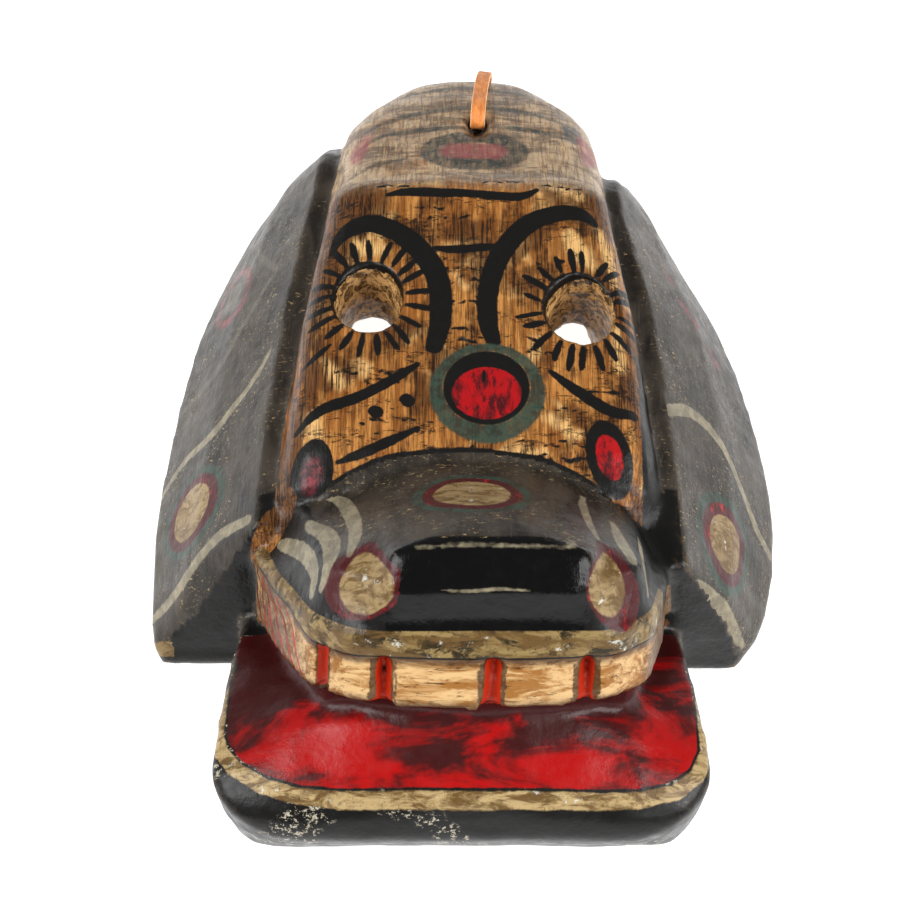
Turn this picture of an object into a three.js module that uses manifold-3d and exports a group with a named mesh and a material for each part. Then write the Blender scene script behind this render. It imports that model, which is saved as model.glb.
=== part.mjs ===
// A carved and painted wooden dog mask with a leather hanging loop, lying on its flat back.
// Millimetres. X runs across the face, Y from the chin up to the crown, Z up from the back rim.
// The wooden head, ears, snout, teeth and jaw are one carved block, hollowed from behind.

import * as THREE from "three";
import { mergeVertices } from "three/addons/utils/BufferGeometryUtils.js";
import Module from "manifold-3d";

// Head: the crown slopes up from its end to the forehead ridge, and the face runs level to the snout.
const CROWN_END_Y = 190;
const CROWN_END_HEIGHT = 21;
const CROWN_EDGE_HEIGHT = 39.5;
const CROWN_END_HALF_WIDTH = 17;
const CROWN_HALF_WIDTH = 45.5;
const CROWN_TAPER_LENGTH = 40;
const RIDGE_Y = 107;
const EYE_LINE_Y = 57;
const CHEEK_Y = -8;
const HEAD_LOW_Y = -42;
const FACE_HEIGHT = 77;
const FACE_RISE_TO_SNOUT = 2;
const FOREHEAD_HALF_WIDTH = 48;
const EYE_LINE_HALF_WIDTH = 54.5;
const CHEEK_HALF_WIDTH = 62.5;
const MOUTH_CORNER_HALF_WIDTH = 69;
const HEAD_LOW_HEIGHT = 33;
const HEAD_SIDE_FLARE = 5;
const FOREHEAD_FLAT_HALF = 31;
const CHEEK_FLAT_HALF = 45;
const FACE_EDGE_DROP = 11;
const CHEEK_EDGE_DROP = 19;
const FACE_CROWNING = 1.2;

// Ears: solid wedges whose flat front edge stands beside the head. The low end leans back.
const EAR_EDGE_WIDTH = 6.5;
const EAR_EDGE_TILT = 1.5;
const EAR_RIM_THICKNESS = 7.5;
const EAR_RIM_UNDERCUT = 2.5;
const EAR_ROOT_X = 34;
const EAR_BELLY = 1.5;
const EAR_TIP_SHARE = 0.06;
const EAR_TOP_TAPER = 40;
const EAR_LOW_LENGTH = 35;
const EAR_LOW_INSET = 3.5;
const LEFT_EAR = {
  side: -1, topY: 168, lowY: -40.5, endLean: 20, widestY: 2, lowTaper: 13,
  reach: 108.5, eyeReach: 101.5, topReach: 54, lowReach: 102.5,
  ridgeTopY: 131, ridgeTopHeight: 54, ridgeEyeHeight: 58.5, ridgeLowHeight: 65,
};
const RIGHT_EAR = {
  side: 1, topY: 152, lowY: -42.5, endLean: 8, widestY: 14, lowTaper: 34,
  reach: 106, eyeReach: 97.5, topReach: 60, lowReach: 90,
  ridgeTopY: 119, ridgeTopHeight: 54, ridgeEyeHeight: 58.5, ridgeLowHeight: 64,
};

// Snout: a block that points up towards the chin. Its own frame has u across, v forward along the
// snout and w from the biting edge of the teeth up to the bridge.
const BITE_Y = -87;
const BITE_HEIGHT = 75;
const SNOUT_TILT_DEG = 38.5;
const SNOUT_SHIFT_LOW = 3;
const SNOUT_SHIFT_TOP = 7;
const SNOUT_LENGTH = 70;
const SNOUT_ROOT_V = -96;
const SNOUT_ROOT_HALF = 55;
const TOOTH_HEIGHT = 15.8;
const LIP_HEIGHT = 9;
const LIP_LEDGE = 1.2;
const NOSE_RIDGE_W = 39;
const BRIDGE_W = 54.5;
const NOSE_TOP_DROP = 3.5;
const NOSE_TOP_W = BRIDGE_W - NOSE_TOP_DROP;
const BRIDGE_FALL = 0.007;
const BRIDGE_ROOT_HALF = 60;
const NOSE_HALF_WIDTH = 28;
const NOSE_RIDGE_V = 2;
const NOSE_TOP_V = -2.3;
const NOSE_LOW_V = -2;
const MUZZLE_FRONT_HALF = 40;
const MUZZLE_CORNER_HALF = 53;
const MUZZLE_CORNER_V = -15;
const MUZZLE_ROOT_HALF = 69;
const MUZZLE_ROOT_V = -60;
const TEETH_FRONT_V = -3.5;
const TOOTH_BOW = 6;
const LIP_BOW = 2.4;
const BITE_RECESS = 5;
const BITE_RECESS_DEPTH = 16;
const MUZZLE_RIGHT_SLIM = 6;

// Gaps between the front teeth, each [centre u, width], with walls that close in towards the bottom.
const TOOTH_GAPS = [[-43.5, 3], [-25.5, 5], [6.5, 6], [34.5, 4.8]];
const TOOTH_GAP_DEPTH = 5.5;
const TOOTH_GAP_FLOOR_SHARE = 0.45;

// Lower jaw: a thick lip that slopes down from the bite to a bevelled rim.
const JAW_BACK_Y = -20;
const JAW_END_Y = -115.3;
const JAW_BACK_HEIGHT = 24;
const JAW_BITE_Y = -84;
const JAW_BITE_HEIGHT = 66;
const JAW_BAND_Y = -105.5;
const JAW_BAND_HEIGHT = 56;
const JAW_RIM_Y = -110;
const JAW_RIM_HEIGHT = 52;
const JAW_END_HEIGHT = 41.5;
const JAW_END_THICKNESS = 3.5;
const JAW_LEFT_HALF = 78.8;
const JAW_RIGHT_HALF = 74.5;
const JAW_LEFT_BACK_HALF = 72;
const JAW_RIGHT_BACK_HALF = 64;
const JAW_CORNER_LENGTH = 21;
const JAW_CORNER_INSET = 27;
const JAW_CHEEK_Y = -58;
const JAW_SHOULDER_Y = -98;
const JAW_SIDE_BACK_HEIGHT = 20;
const JAW_SIDE_FRONT_HEIGHT = 47;
const JAW_BAND_WIDTH = 9;
const JAW_BAND_RISE = 3;
const JAW_FOOT_Y = -92;
const JAW_SIDE_UNDERCUT = 4;

// Hollow for the wearer's face, open at the back.
const HOLLOW_DEPTH = 48;
const HOLLOW_CROWN_SHARE = 0.75;
const HOLLOW_CHIN_SHARE = 0.85;
const HOLLOW_CROWN_Y = 156;
const HOLLOW_CHIN_Y = -83;
const HOLLOW_CROWN_HALF = 32;
const HOLLOW_BROW_HALF = 51;
const HOLLOW_JAW_HALF = 57;
const HOLLOW_ROUNDING = 9;

// Eye holes: each centre on the face and how far its bore stays open towards the back.
const EYE_LEFT = [-32.7, 56.7, 0.86];
const EYE_RIGHT = [36.8, 52.4, 1];
const EYE_HALF_WIDTH = 11.2;
const EYE_HALF_HEIGHT = 13.3;

// Leather loop: a flat strap through a slanted hole in the crown, tied behind the crown's end.
const LOOP_HOLE_DIAMETER = 8;
const LOOP_HOLE_FRONT = [3.4, 149, 53.5];
const LOOP_HOLE_REAR = [4.2, 190, 15];
const LOOP_HOLE_OVERRUN = 14;
const STRAP_WIDTH = 5.2;
const STRAP_THICKNESS = 1.8;
const STRAP_EDGE_ROUNDING = 0.5;
const STRAP_STEPS = 46;
const KNOT_CENTRE = [4.6, 199.5, 9.5];
const KNOT_RADIUS = 4.6;
const STRAP_ROUTE = [
  [4.4, 198.5, 11], [4.3, 193, 13], [4.1, 187, 17.8], [3.8, 174, 30], [3.6, 161, 42.2],
  [3.4, 150.5, 52], [3.4, 146.5, 56.3], [3.5, 147.5, 59.3], [3.8, 152.5, 59.6], [4.4, 162, 54.6],
  [5.2, 173, 48.6], [6, 181.5, 42.4], [6.5, 187.3, 36.6], [6.7, 191.8, 30], [6.6, 195.2, 23.5],
  [6, 197.6, 17.5], [5, 199, 12.5],
];

const WOOD = { color: 0x2e2c2a, roughness: 0.45, metalness: 0 };
const LEATHER = { color: 0xc8793c, roughness: 0.75, metalness: 0 };

const RIGHT_ANGLE = Math.PI / 2;
const CORNER_STEPS = 4;

const wasm = await Module();
wasm.setup();

// Value at a position of the smooth line through a few [position, value] pairs in rising order.
function along(pairs, at) {
  const last = pairs.length - 1;
  if (at <= pairs[0][0]) return pairs[0][1];
  if (at >= pairs[last][0]) return pairs[last][1];
  const rise = (i) => (pairs[i + 1][1] - pairs[i][1]) / (pairs[i + 1][0] - pairs[i][0]);
  const slope = (i) => {
    if (i === 0) return rise(0);
    if (i === last) return rise(last - 1);
    const before = rise(i - 1);
    const after = rise(i);
    return before * after <= 0 ? 0 : (2 * before * after) / (before + after);
  };
  const i = pairs.findIndex((pair, k) => k < last && at <= pairs[k + 1][0]);
  const span = pairs[i + 1][0] - pairs[i][0];
  const t = (at - pairs[i][0]) / span;
  const startShare = (1 + 2 * t) * (1 - t) ** 2;
  const endShare = t * t * (3 - 2 * t);
  const startPull = t * (1 - t) ** 2 * span * slope(i);
  const endPull = t * t * (t - 1) * span * slope(i + 1);
  return startShare * pairs[i][1] + endShare * pairs[i + 1][1] + startPull + endPull;
}

// Evenly spaced numbers from one value to another, both included.
function spread(from, to, steps) {
  return Array.from({ length: steps + 1 }, (unused, i) => from + ((to - from) * i) / steps);
}

// Solid from a closed geometry, whichever way its faces were wound.
function solidOf(geometry) {
  const plain = geometry.clone();
  plain.deleteAttribute("normal");
  plain.deleteAttribute("uv");
  const merged = mergeVertices(plain, 1e-4);
  const vertProperties = new Float32Array(merged.attributes.position.array);
  const triVerts = new Uint32Array(merged.index.array);
  const solid = new wasm.Manifold(new wasm.Mesh({ numProp: 3, vertProperties, triVerts }));
  if (solid.volume() > 0) return solid;
  const turned = triVerts.slice().reverse();
  return new wasm.Manifold(new wasm.Mesh({ numProp: 3, vertProperties, triVerts: turned }));
}

// Closed solid through rings of equally many points, with a fan of faces over each end ring.
function loft(rings) {
  const count = rings[0].length;
  const points = rings.flat();
  const index = [];
  for (let r = 0; r < rings.length - 1; r += 1) {
    for (let i = 0; i < count; i += 1) {
      const a = r * count + i;
      const b = r * count + ((i + 1) % count);
      const straight = points[a].distanceTo(points[b + count]);
      if (straight <= points[b].distanceTo(points[a + count])) {
        index.push(a, b, b + count, a, b + count, a + count);
      } else {
        index.push(a, b, a + count, b, b + count, a + count);
      }
    }
  }
  for (const ring of [rings[0], rings.at(-1)]) {
    const start = ring === rings[0] ? 0 : (rings.length - 1) * count;
    const middle = points.length;
    points.push(ring.reduce((sum, p) => sum.add(p), new THREE.Vector3()).divideScalar(count));
    for (let i = 0; i < count; i += 1) {
      const edge = [start + i, start + ((i + 1) % count)];
      if (start === 0) edge.reverse();
      index.push(middle, ...edge);
    }
  }
  const geometry = new THREE.BufferGeometry();
  geometry.setAttribute("position", new THREE.Float32BufferAttribute(points.flatMap((p) => p.toArray()), 3));
  geometry.setIndex(index);
  return solidOf(geometry);
}

// Height of the head's front surface on the middle line.
function faceHeight(y) {
  const below = CHEEK_Y - HEAD_LOW_Y;
  return along([
    [HEAD_LOW_Y, HEAD_LOW_HEIGHT],
    [HEAD_LOW_Y + below * 0.24, THREE.MathUtils.lerp(HEAD_LOW_HEIGHT, FACE_HEIGHT, 0.32)],
    [HEAD_LOW_Y + below * 0.59, THREE.MathUtils.lerp(HEAD_LOW_HEIGHT, FACE_HEIGHT, 0.69)],
    [CHEEK_Y, FACE_HEIGHT - 1],
    [CHEEK_Y + 16, FACE_HEIGHT + FACE_RISE_TO_SNOUT],
    [RIDGE_Y - 5, FACE_HEIGHT],
    [RIDGE_Y + 5, FACE_HEIGHT - 5],
    [CROWN_END_Y - 11, CROWN_EDGE_HEIGHT],
    [CROWN_END_Y - 5, CROWN_EDGE_HEIGHT - 5.5],
    [CROWN_END_Y - 2, CROWN_END_HEIGHT + 7.5],
    [CROWN_END_Y, CROWN_END_HEIGHT],
  ], y);
}

// Half the head's width at the edge between its front and its sides.
function headHalfWidth(y) {
  return along([
    [HEAD_LOW_Y, MOUTH_CORNER_HALF_WIDTH],
    [CHEEK_Y, CHEEK_HALF_WIDTH],
    [EYE_LINE_Y, EYE_LINE_HALF_WIDTH],
    [RIDGE_Y, FOREHEAD_HALF_WIDTH],
    [CROWN_END_Y - CROWN_TAPER_LENGTH, CROWN_HALF_WIDTH],
    [CROWN_END_Y - 29, CROWN_HALF_WIDTH - 4],
    [CROWN_END_Y - 9, CROWN_END_HALF_WIDTH + 8.5],
    [CROWN_END_Y, CROWN_END_HALF_WIDTH],
  ], y);
}

// Half the width of the flat middle of the head's front surface.
function flatHalfWidth(y) {
  return along([
    [HEAD_LOW_Y, CHEEK_FLAT_HALF],
    [CHEEK_Y + 8, CHEEK_FLAT_HALF],
    [RIDGE_Y, FOREHEAD_FLAT_HALF],
    [CROWN_END_Y - 30, FOREHEAD_FLAT_HALF * 0.75],
    [CROWN_END_Y, CROWN_END_HALF_WIDTH * 0.5],
  ], y);
}

// How far the side edge lies below the front surface.
function edgeDrop(y) {
  return along([
    [HEAD_LOW_Y, FACE_EDGE_DROP],
    [CHEEK_Y, CHEEK_EDGE_DROP],
    [EYE_LINE_Y, FACE_EDGE_DROP],
    [CROWN_END_Y - 30, FACE_EDGE_DROP + 3],
    [CROWN_END_Y, FACE_EDGE_DROP],
  ], y);
}

// Closed section of the head, from the left side of the back over the face to the right side.
function headRing(y) {
  const height = faceHeight(y);
  const half = headHalfWidth(y);
  const flat = flatHalfWidth(y);
  const drop = edgeDrop(y);
  const halfRing = [[half + HEAD_SIDE_FLARE, 0], [half + HEAD_SIDE_FLARE / 2, (height - drop) / 2]];
  for (const turn of spread(0, RIGHT_ANGLE, CORNER_STEPS)) {
    halfRing.push([flat + (half - flat) * Math.cos(turn), height - drop + drop * Math.sin(turn)]);
  }
  halfRing.push([flat / 2, height + FACE_CROWNING * 0.75]);
  const left = halfRing.map(([x, z]) => new THREE.Vector3(-x, y, z));
  const right = halfRing.map(([x, z]) => new THREE.Vector3(x, y, z)).reverse();
  return [...left, new THREE.Vector3(0, y, height + FACE_CROWNING), ...right];
}

function headSolid() {
  const face = spread(HEAD_LOW_Y, RIDGE_Y - 7, 14);
  const ridge = spread(RIDGE_Y - 3, RIDGE_Y + 9, 3);
  const crown = spread(RIDGE_Y + 22, CROWN_END_Y - 14, 4);
  const end = [10, 6, 3, 1, 0].map((back) => CROWN_END_Y - back);
  return loft([...face, ...ridge, ...crown, ...end].map(headRing));
}

// How far one ear reaches from the middle at the table.
function earReach(ear, y) {
  return along([
    [ear.lowY, ear.lowReach],
    [ear.lowY + ear.lowTaper * 0.35, THREE.MathUtils.lerp(ear.lowReach, ear.reach, 0.55)],
    [ear.lowY + ear.lowTaper, ear.reach - 1.5],
    [ear.widestY, ear.reach],
    [EYE_LINE_Y + 13, ear.eyeReach],
    [ear.topY - EAR_TOP_TAPER, ear.reach * 0.77],
    [ear.topY, ear.topReach],
  ], y);
}

// Section of one ear: its flat front edge, its steep outer face and its thin rim on the table.
function earRing(ear, y) {
  const fullHeight = along([
    [ear.lowY, ear.ridgeLowHeight],
    [CHEEK_Y, ear.ridgeLowHeight - 1],
    [EYE_LINE_Y, ear.ridgeEyeHeight],
    [ear.ridgeTopY, ear.ridgeTopHeight],
    [ear.topY, EAR_RIM_THICKNESS + 9],
  ], y);
  const fullRidge = along([
    [ear.lowY, CHEEK_HALF_WIDTH + EAR_EDGE_WIDTH],
    [CHEEK_Y + EAR_LOW_LENGTH, CHEEK_HALF_WIDTH - EAR_LOW_INSET + EAR_EDGE_WIDTH],
    [EYE_LINE_Y + 13, EYE_LINE_HALF_WIDTH + 1 + EAR_EDGE_WIDTH],
    [ear.ridgeTopY, FOREHEAD_HALF_WIDTH + EAR_EDGE_WIDTH - 1],
    [ear.topY, ear.topReach - 3],
  ], y);
  const reach = Math.max(earReach(ear, y), fullRidge + EAR_RIM_UNDERCUT);
  const share = THREE.MathUtils.clamp((y - ear.lowY) / ear.endLean, EAR_TIP_SHARE, 1) ** 0.85;
  const height = fullHeight * share;
  const ridge = THREE.MathUtils.lerp(reach - EAR_RIM_UNDERCUT, fullRidge, share);
  const rim = Math.min(EAR_RIM_THICKNESS, height * 0.6);
  const bevel = Math.min(1.2, height * 0.2);
  const belly = EAR_BELLY * share;
  const inner = fullRidge - EAR_EDGE_WIDTH;
  const section = [
    [EAR_ROOT_X, 0],
    [EAR_ROOT_X, height - EAR_EDGE_TILT * share],
    [inner, height - EAR_EDGE_TILT * share],
    [ridge - bevel, height],
    [ridge, height - bevel],
    [(ridge + reach) / 2 + belly, (height + rim) / 2 + belly],
    [reach, rim],
    [reach - EAR_RIM_UNDERCUT * 0.1, rim / 2],
    [reach - EAR_RIM_UNDERCUT * share, 0],
  ];
  return section.map(([x, z]) => new THREE.Vector3(ear.side * x, y, z));
}

function earSolid(ear) {
  const low = [0, 0.08, 0.2, 0.4, 0.65, 0.9, 1, 1.15].map((share) => ear.lowY + ear.endLean * share);
  const body = spread(ear.lowY + ear.endLean * 1.15 + 8, ear.ridgeTopY, 9);
  const top = spread(ear.ridgeTopY + 8, ear.topY, 3);
  return loft([...low, ...body, ...top].map((y) => earRing(ear, y)));
}

// Point of the snout's own frame in the mask's frame, with the snout's slight turn to the right.
function snoutPoint(u, v, w) {
  const tilt = THREE.MathUtils.degToRad(SNOUT_TILT_DEG);
  const rising = THREE.MathUtils.clamp(w / NOSE_TOP_W, 0, 1);
  const forward = THREE.MathUtils.clamp(1 + v / SNOUT_LENGTH, 0, 1);
  const shift = (SNOUT_SHIFT_LOW + (SNOUT_SHIFT_TOP - SNOUT_SHIFT_LOW) * rising) * forward;
  return new THREE.Vector3(
    u + shift,
    BITE_Y - v * Math.cos(tilt) + w * Math.sin(tilt),
    BITE_HEIGHT + v * Math.sin(tilt) + w * Math.cos(tilt),
  );
}

// Level outline of the snout: root, cheek, corner and front on the left, then the same on the right.
function snoutRing(level) {
  const half = (root) => [
    [SNOUT_ROOT_HALF, SNOUT_ROOT_V],
    [root, MUZZLE_ROOT_V],
    [(root + level.corner) / 2 + 1, (MUZZLE_ROOT_V + MUZZLE_CORNER_V) / 2],
    [level.corner, MUZZLE_CORNER_V - 2],
    [Math.max(level.corner - 2.5, level.front + 1.5), MUZZLE_CORNER_V + 2.5],
    [level.front + 1.5, level.v - 1.8],
    [level.front - 3, level.v + level.bow * 0.12],
    [level.front * 0.62, level.v + level.bow * 0.62],
    [level.front * 0.3, level.v + level.bow * 0.9],
  ].map(([u, v]) => [Math.min(u, level.limit), v + level.slide * (1 - v / SNOUT_ROOT_V)]);
  const left = half(level.root).map(([u, v]) => snoutPoint(-u, v, level.w));
  const slim = Math.max(level.root - MUZZLE_RIGHT_SLIM, Math.min(level.root, level.corner));
  const right = half(slim).map(([u, v]) => snoutPoint(u, v, level.w)).reverse();
  return [...left, snoutPoint(0, level.v + level.bow + level.slide, level.w), ...right];
}

function snoutSolid() {
  const lip = TOOTH_HEIGHT + LIP_HEIGHT;
  const front = MUZZLE_FRONT_HALF;
  const corner = MUZZLE_CORNER_HALF;
  const root = MUZZLE_ROOT_HALF;
  const level = (w, inset, v, bow, more = {}) => {
    const halves = { front: front - inset, corner: corner - inset, root: root - inset, limit: root };
    return { w, v, bow, slide: 0, ...halves, ...more };
  };
  const recess = (w, slide) => level(w, BITE_RECESS, TEETH_FRONT_V - BITE_RECESS, TOOTH_BOW, { slide });
  const bridge = (w, v) => {
    const half = Math.sqrt((BRIDGE_W - w) / BRIDGE_FALL);
    const sides = { front: Math.min(NOSE_HALF_WIDTH, half), root: Math.min(BRIDGE_ROOT_HALF, half) };
    return level(w, corner - half, v, 0, { ...sides, limit: half });
  };
  const nose = (w, share, v) => level(w, 2 + 4 * share, v, 0, {
    front: THREE.MathUtils.lerp(front - 2, NOSE_HALF_WIDTH, Math.min(1, share * 1.6)),
    root: root - 4.5 - 10.5 * share,
  });
  const slope = Math.tan(THREE.MathUtils.degToRad(SNOUT_TILT_DEG));
  return loft([
    recess(-BITE_RECESS_DEPTH, -BITE_RECESS_DEPTH * slope),
    recess(0.4, 0),
    level(0, 1.2, TEETH_FRONT_V - 1, TOOTH_BOW + 0.5),
    level(1.5, 0, TEETH_FRONT_V, TOOTH_BOW),
    level(TOOTH_HEIGHT * 0.6, 0, TEETH_FRONT_V, TOOTH_BOW * 0.6),
    level(TOOTH_HEIGHT - 0.2, 1, TEETH_FRONT_V, LIP_BOW),
    level(TOOTH_HEIGHT, 1 - LIP_LEDGE, TEETH_FRONT_V + LIP_LEDGE, LIP_BOW),
    level(lip - 1, 1.5 - LIP_LEDGE, NOSE_LOW_V + LIP_LEDGE, 0.6),
    nose(lip, 0, NOSE_LOW_V),
    nose((lip + NOSE_RIDGE_W) / 2, 0.5, (NOSE_LOW_V + NOSE_RIDGE_V) / 2),
    nose(NOSE_RIDGE_W, 1, NOSE_RIDGE_V),
    bridge((NOSE_RIDGE_W + NOSE_TOP_W) / 2, (NOSE_RIDGE_V + NOSE_TOP_V) / 2 + 0.3),
    bridge(NOSE_TOP_W - 2.3, NOSE_TOP_V + 0.6),
    bridge(NOSE_TOP_W, NOSE_TOP_V - 0.6),
    bridge(BRIDGE_W - 1.6, NOSE_TOP_V - 6),
    bridge(BRIDGE_W - 0.5, NOSE_TOP_V - 14),
  ].map(snoutRing));
}

// Wedge that parts two front teeth, from the bite up to the lip.
function toothGapSolid([centre, width]) {
  const bottomHalf = (width * TOOTH_GAP_FLOOR_SHARE) / 2;
  const ring = (w) => [
    snoutPoint(centre - SNOUT_SHIFT_LOW - width * 0.9, 12, w),
    snoutPoint(centre - SNOUT_SHIFT_LOW - width / 2, frontOf(centre, w), w),
    snoutPoint(centre - SNOUT_SHIFT_LOW - bottomHalf, frontOf(centre, w) - TOOTH_GAP_DEPTH, w),
    snoutPoint(centre - SNOUT_SHIFT_LOW + bottomHalf, frontOf(centre, w) - TOOTH_GAP_DEPTH, w),
    snoutPoint(centre - SNOUT_SHIFT_LOW + width / 2, frontOf(centre, w), w),
    snoutPoint(centre - SNOUT_SHIFT_LOW + width * 0.9, 12, w),
  ];
  return loft([ring(-4), ring(TOOTH_HEIGHT * 0.5), ring(TOOTH_HEIGHT - 0.1)]);
}

// How far forward the front of the teeth stands at a place across the mouth.
function frontOf(across, w) {
  const share = Math.min(Math.abs(across - SNOUT_SHIFT_LOW) / MUZZLE_FRONT_HALF, 1);
  const bow = THREE.MathUtils.lerp(TOOTH_BOW, LIP_BOW, THREE.MathUtils.clamp(w / TOOTH_HEIGHT, 0, 1));
  return TEETH_FRONT_V + bow * (1 - share ** 2) - (share > 0.98 ? 3 : 0);
}

// Height of the jaw's upper surface on the middle line.
function jawHeight(y) {
  return along([
    [JAW_END_Y, JAW_END_HEIGHT],
    [JAW_END_Y + 3, JAW_END_HEIGHT + 6.5],
    [JAW_RIM_Y, JAW_RIM_HEIGHT],
    [JAW_BAND_Y, JAW_BAND_HEIGHT],
    [JAW_BITE_Y - 8, JAW_BITE_HEIGHT - 3.5],
    [JAW_BITE_Y, JAW_BITE_HEIGHT],
    [JAW_BITE_Y + 12, JAW_BITE_HEIGHT - 8],
    [HEAD_LOW_Y, JAW_BACK_HEIGHT + 6],
    [JAW_BACK_Y, JAW_BACK_HEIGHT],
  ], y);
}

// Half the jaw's width on one side, with rounded corners at the chin.
function jawHalfWidth(y, back, front) {
  const corner = JAW_END_Y + JAW_CORNER_LENGTH;
  if (y >= corner) {
    return along([[corner, front], [JAW_CHEEK_Y, (back + 2 * front) / 3], [JAW_BACK_Y, back]], y);
  }
  const turn = Math.asin(THREE.MathUtils.clamp((corner - y) / JAW_CORNER_LENGTH, 0, 1));
  return front - JAW_CORNER_INSET * (1 - Math.cos(turn));
}

// Height of the jaw's side edge.
function jawSideHeight(y) {
  return along([
    [JAW_END_Y, JAW_END_HEIGHT - 1],
    [JAW_RIM_Y, JAW_SIDE_FRONT_HEIGHT - 1.5],
    [JAW_SHOULDER_Y, JAW_SIDE_FRONT_HEIGHT],
    [JAW_CHEEK_Y, THREE.MathUtils.lerp(JAW_SIDE_BACK_HEIGHT, JAW_SIDE_FRONT_HEIGHT, 0.65)],
    [JAW_BACK_Y, JAW_SIDE_BACK_HEIGHT],
  ], y);
}

// Height of the jaw's underside, which lifts off the table at the chin.
function jawUnderside(y) {
  return along([
    [JAW_END_Y, JAW_END_HEIGHT - JAW_END_THICKNESS],
    [JAW_END_Y + 5, JAW_END_HEIGHT * 0.48],
    [JAW_FOOT_Y, 0],
  ], y);
}

function jawRing(y) {
  const under = jawUnderside(y);
  const edge = Math.max(jawSideHeight(y), under + 2);
  const middle = Math.max(jawHeight(y), edge + 0.4);
  const band = Math.min(edge + JAW_BAND_RISE, middle - 0.2);
  const side = (sign, back, front) => {
    const half = jawHalfWidth(y, back, front);
    const inner = half - JAW_BAND_WIDTH;
    const points = [
      [half - JAW_SIDE_UNDERCUT, under],
      [half - 1, (under + edge) / 2],
      [half, edge - 1.5],
      [half - 1.5, edge],
      [inner, band],
    ];
    for (const share of [0.78, 0.52, 0.26]) {
      points.push([inner * share, middle - (middle - band) * share ** 2.2]);
    }
    return points.map(([x, z]) => new THREE.Vector3(sign * x, y, z));
  };
  const left = side(-1, JAW_LEFT_BACK_HALF, JAW_LEFT_HALF);
  const right = side(1, JAW_RIGHT_BACK_HALF, JAW_RIGHT_HALF).reverse();
  return [...left, new THREE.Vector3(0, y, middle), ...right];
}

function jawSolid() {
  const end = [0, 0.6, 1.8, 3.5, 6.5].map((back) => JAW_END_Y + back);
  const chin = spread(JAW_RIM_Y + 2, JAW_BITE_Y - 2, 5);
  const back = spread(JAW_BITE_Y + 4, JAW_BACK_Y, 6);
  return loft([...end, ...chin, ...back].map(jawRing));
}

// Outline of the hollow at a share of its depth, drawn in by a margin all round.
function hollowRing(z, margin) {
  const middle = (HOLLOW_CROWN_Y + HOLLOW_CHIN_Y) / 2;
  const reach = (HOLLOW_CROWN_Y - HOLLOW_CHIN_Y) / 2 - margin;
  return spread(0, 2 * Math.PI, 36).slice(0, -1).map((turn) => {
    const y = middle + reach * Math.sin(turn);
    const half = along([
      [HOLLOW_CHIN_Y, HOLLOW_JAW_HALF],
      [0, HOLLOW_JAW_HALF - 6],
      [EYE_LINE_Y, HOLLOW_BROW_HALF],
      [HOLLOW_CROWN_Y, HOLLOW_CROWN_HALF],
    ], y) - margin;
    const depth = along([
      [HOLLOW_CHIN_Y, HOLLOW_CHIN_SHARE],
      [HEAD_LOW_Y, 1],
      [RIDGE_Y - 15, 1],
      [HOLLOW_CROWN_Y, HOLLOW_CROWN_SHARE],
    ], y);
    const round = Math.abs(Math.cos(turn)) ** 0.55;
    return new THREE.Vector3(Math.sign(Math.cos(turn)) * half * round, y, z * depth);
  });
}

function hollowSolid() {
  const rings = [hollowRing(-2, 0)];
  for (const turn of spread(0, RIGHT_ANGLE, 5)) {
    rings.push(hollowRing(HOLLOW_DEPTH * Math.sin(turn), HOLLOW_ROUNDING * (1 - Math.cos(turn))));
  }
  return loft(rings);
}

// Rough bore of one eye, widest at the face.
function eyeSolid([x, y, throat]) {
  const top = FACE_HEIGHT + FACE_RISE_TO_SNOUT;
  const levels = [
    [HOLLOW_DEPTH - 12, throat + 0.06], [HOLLOW_DEPTH + 1, throat], [(HOLLOW_DEPTH + top) / 2, throat],
    [top - 9, 0.97], [top - 3, 1.01], [top + 8, 1.1],
  ];
  const rings = levels.map(([z, share], k) => spread(0, 2 * Math.PI, 20).slice(0, -1).map((turn) => {
    const knife = share * (1 + 0.025 * Math.sin(3 * turn + k));
    return new THREE.Vector3(
      x + EYE_HALF_WIDTH * knife * Math.cos(turn),
      y + EYE_HALF_HEIGHT * knife * Math.sin(turn),
      z,
    );
  }));
  return loft(rings);
}

// Slanted hole of the leather loop, run on past both of its mouths.
function loopHoleSolid() {
  const front = new THREE.Vector3(...LOOP_HOLE_FRONT);
  const rear = new THREE.Vector3(...LOOP_HOLE_REAR);
  const line = rear.clone().sub(front);
  const radius = LOOP_HOLE_DIAMETER / 2;
  const hole = new THREE.CylinderGeometry(radius, radius, line.length() + 2 * LOOP_HOLE_OVERRUN, 12);
  const upright = new THREE.Vector3(0, 1, 0);
  hole.applyQuaternion(new THREE.Quaternion().setFromUnitVectors(upright, line.clone().normalize()));
  hole.translate(...front.clone().add(rear).multiplyScalar(0.5));
  return solidOf(hole);
}

// Flat strap along its route, with its knot.
function loopSolid() {
  const half = STRAP_WIDTH / 2;
  const thin = STRAP_THICKNESS / 2;
  const cut = STRAP_EDGE_ROUNDING;
  const section = new THREE.Shape([
    [-half, -thin + cut], [-half + cut, -thin], [half - cut, -thin], [half, -thin + cut],
    [half, thin - cut], [half - cut, thin], [-half + cut, thin], [-half, thin - cut],
  ].map(([x, y]) => new THREE.Vector2(x, y)));
  const route = new THREE.CatmullRomCurve3(STRAP_ROUTE.map((p) => new THREE.Vector3(...p)));
  const strap = new THREE.ExtrudeGeometry(section, { steps: STRAP_STEPS, extrudePath: route });
  const knot = new THREE.SphereGeometry(KNOT_RADIUS, 14, 10);
  knot.scale(1.15, 0.85, 1);
  knot.translate(...KNOT_CENTRE);
  return solidOf(strap).add(solidOf(knot));
}

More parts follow.
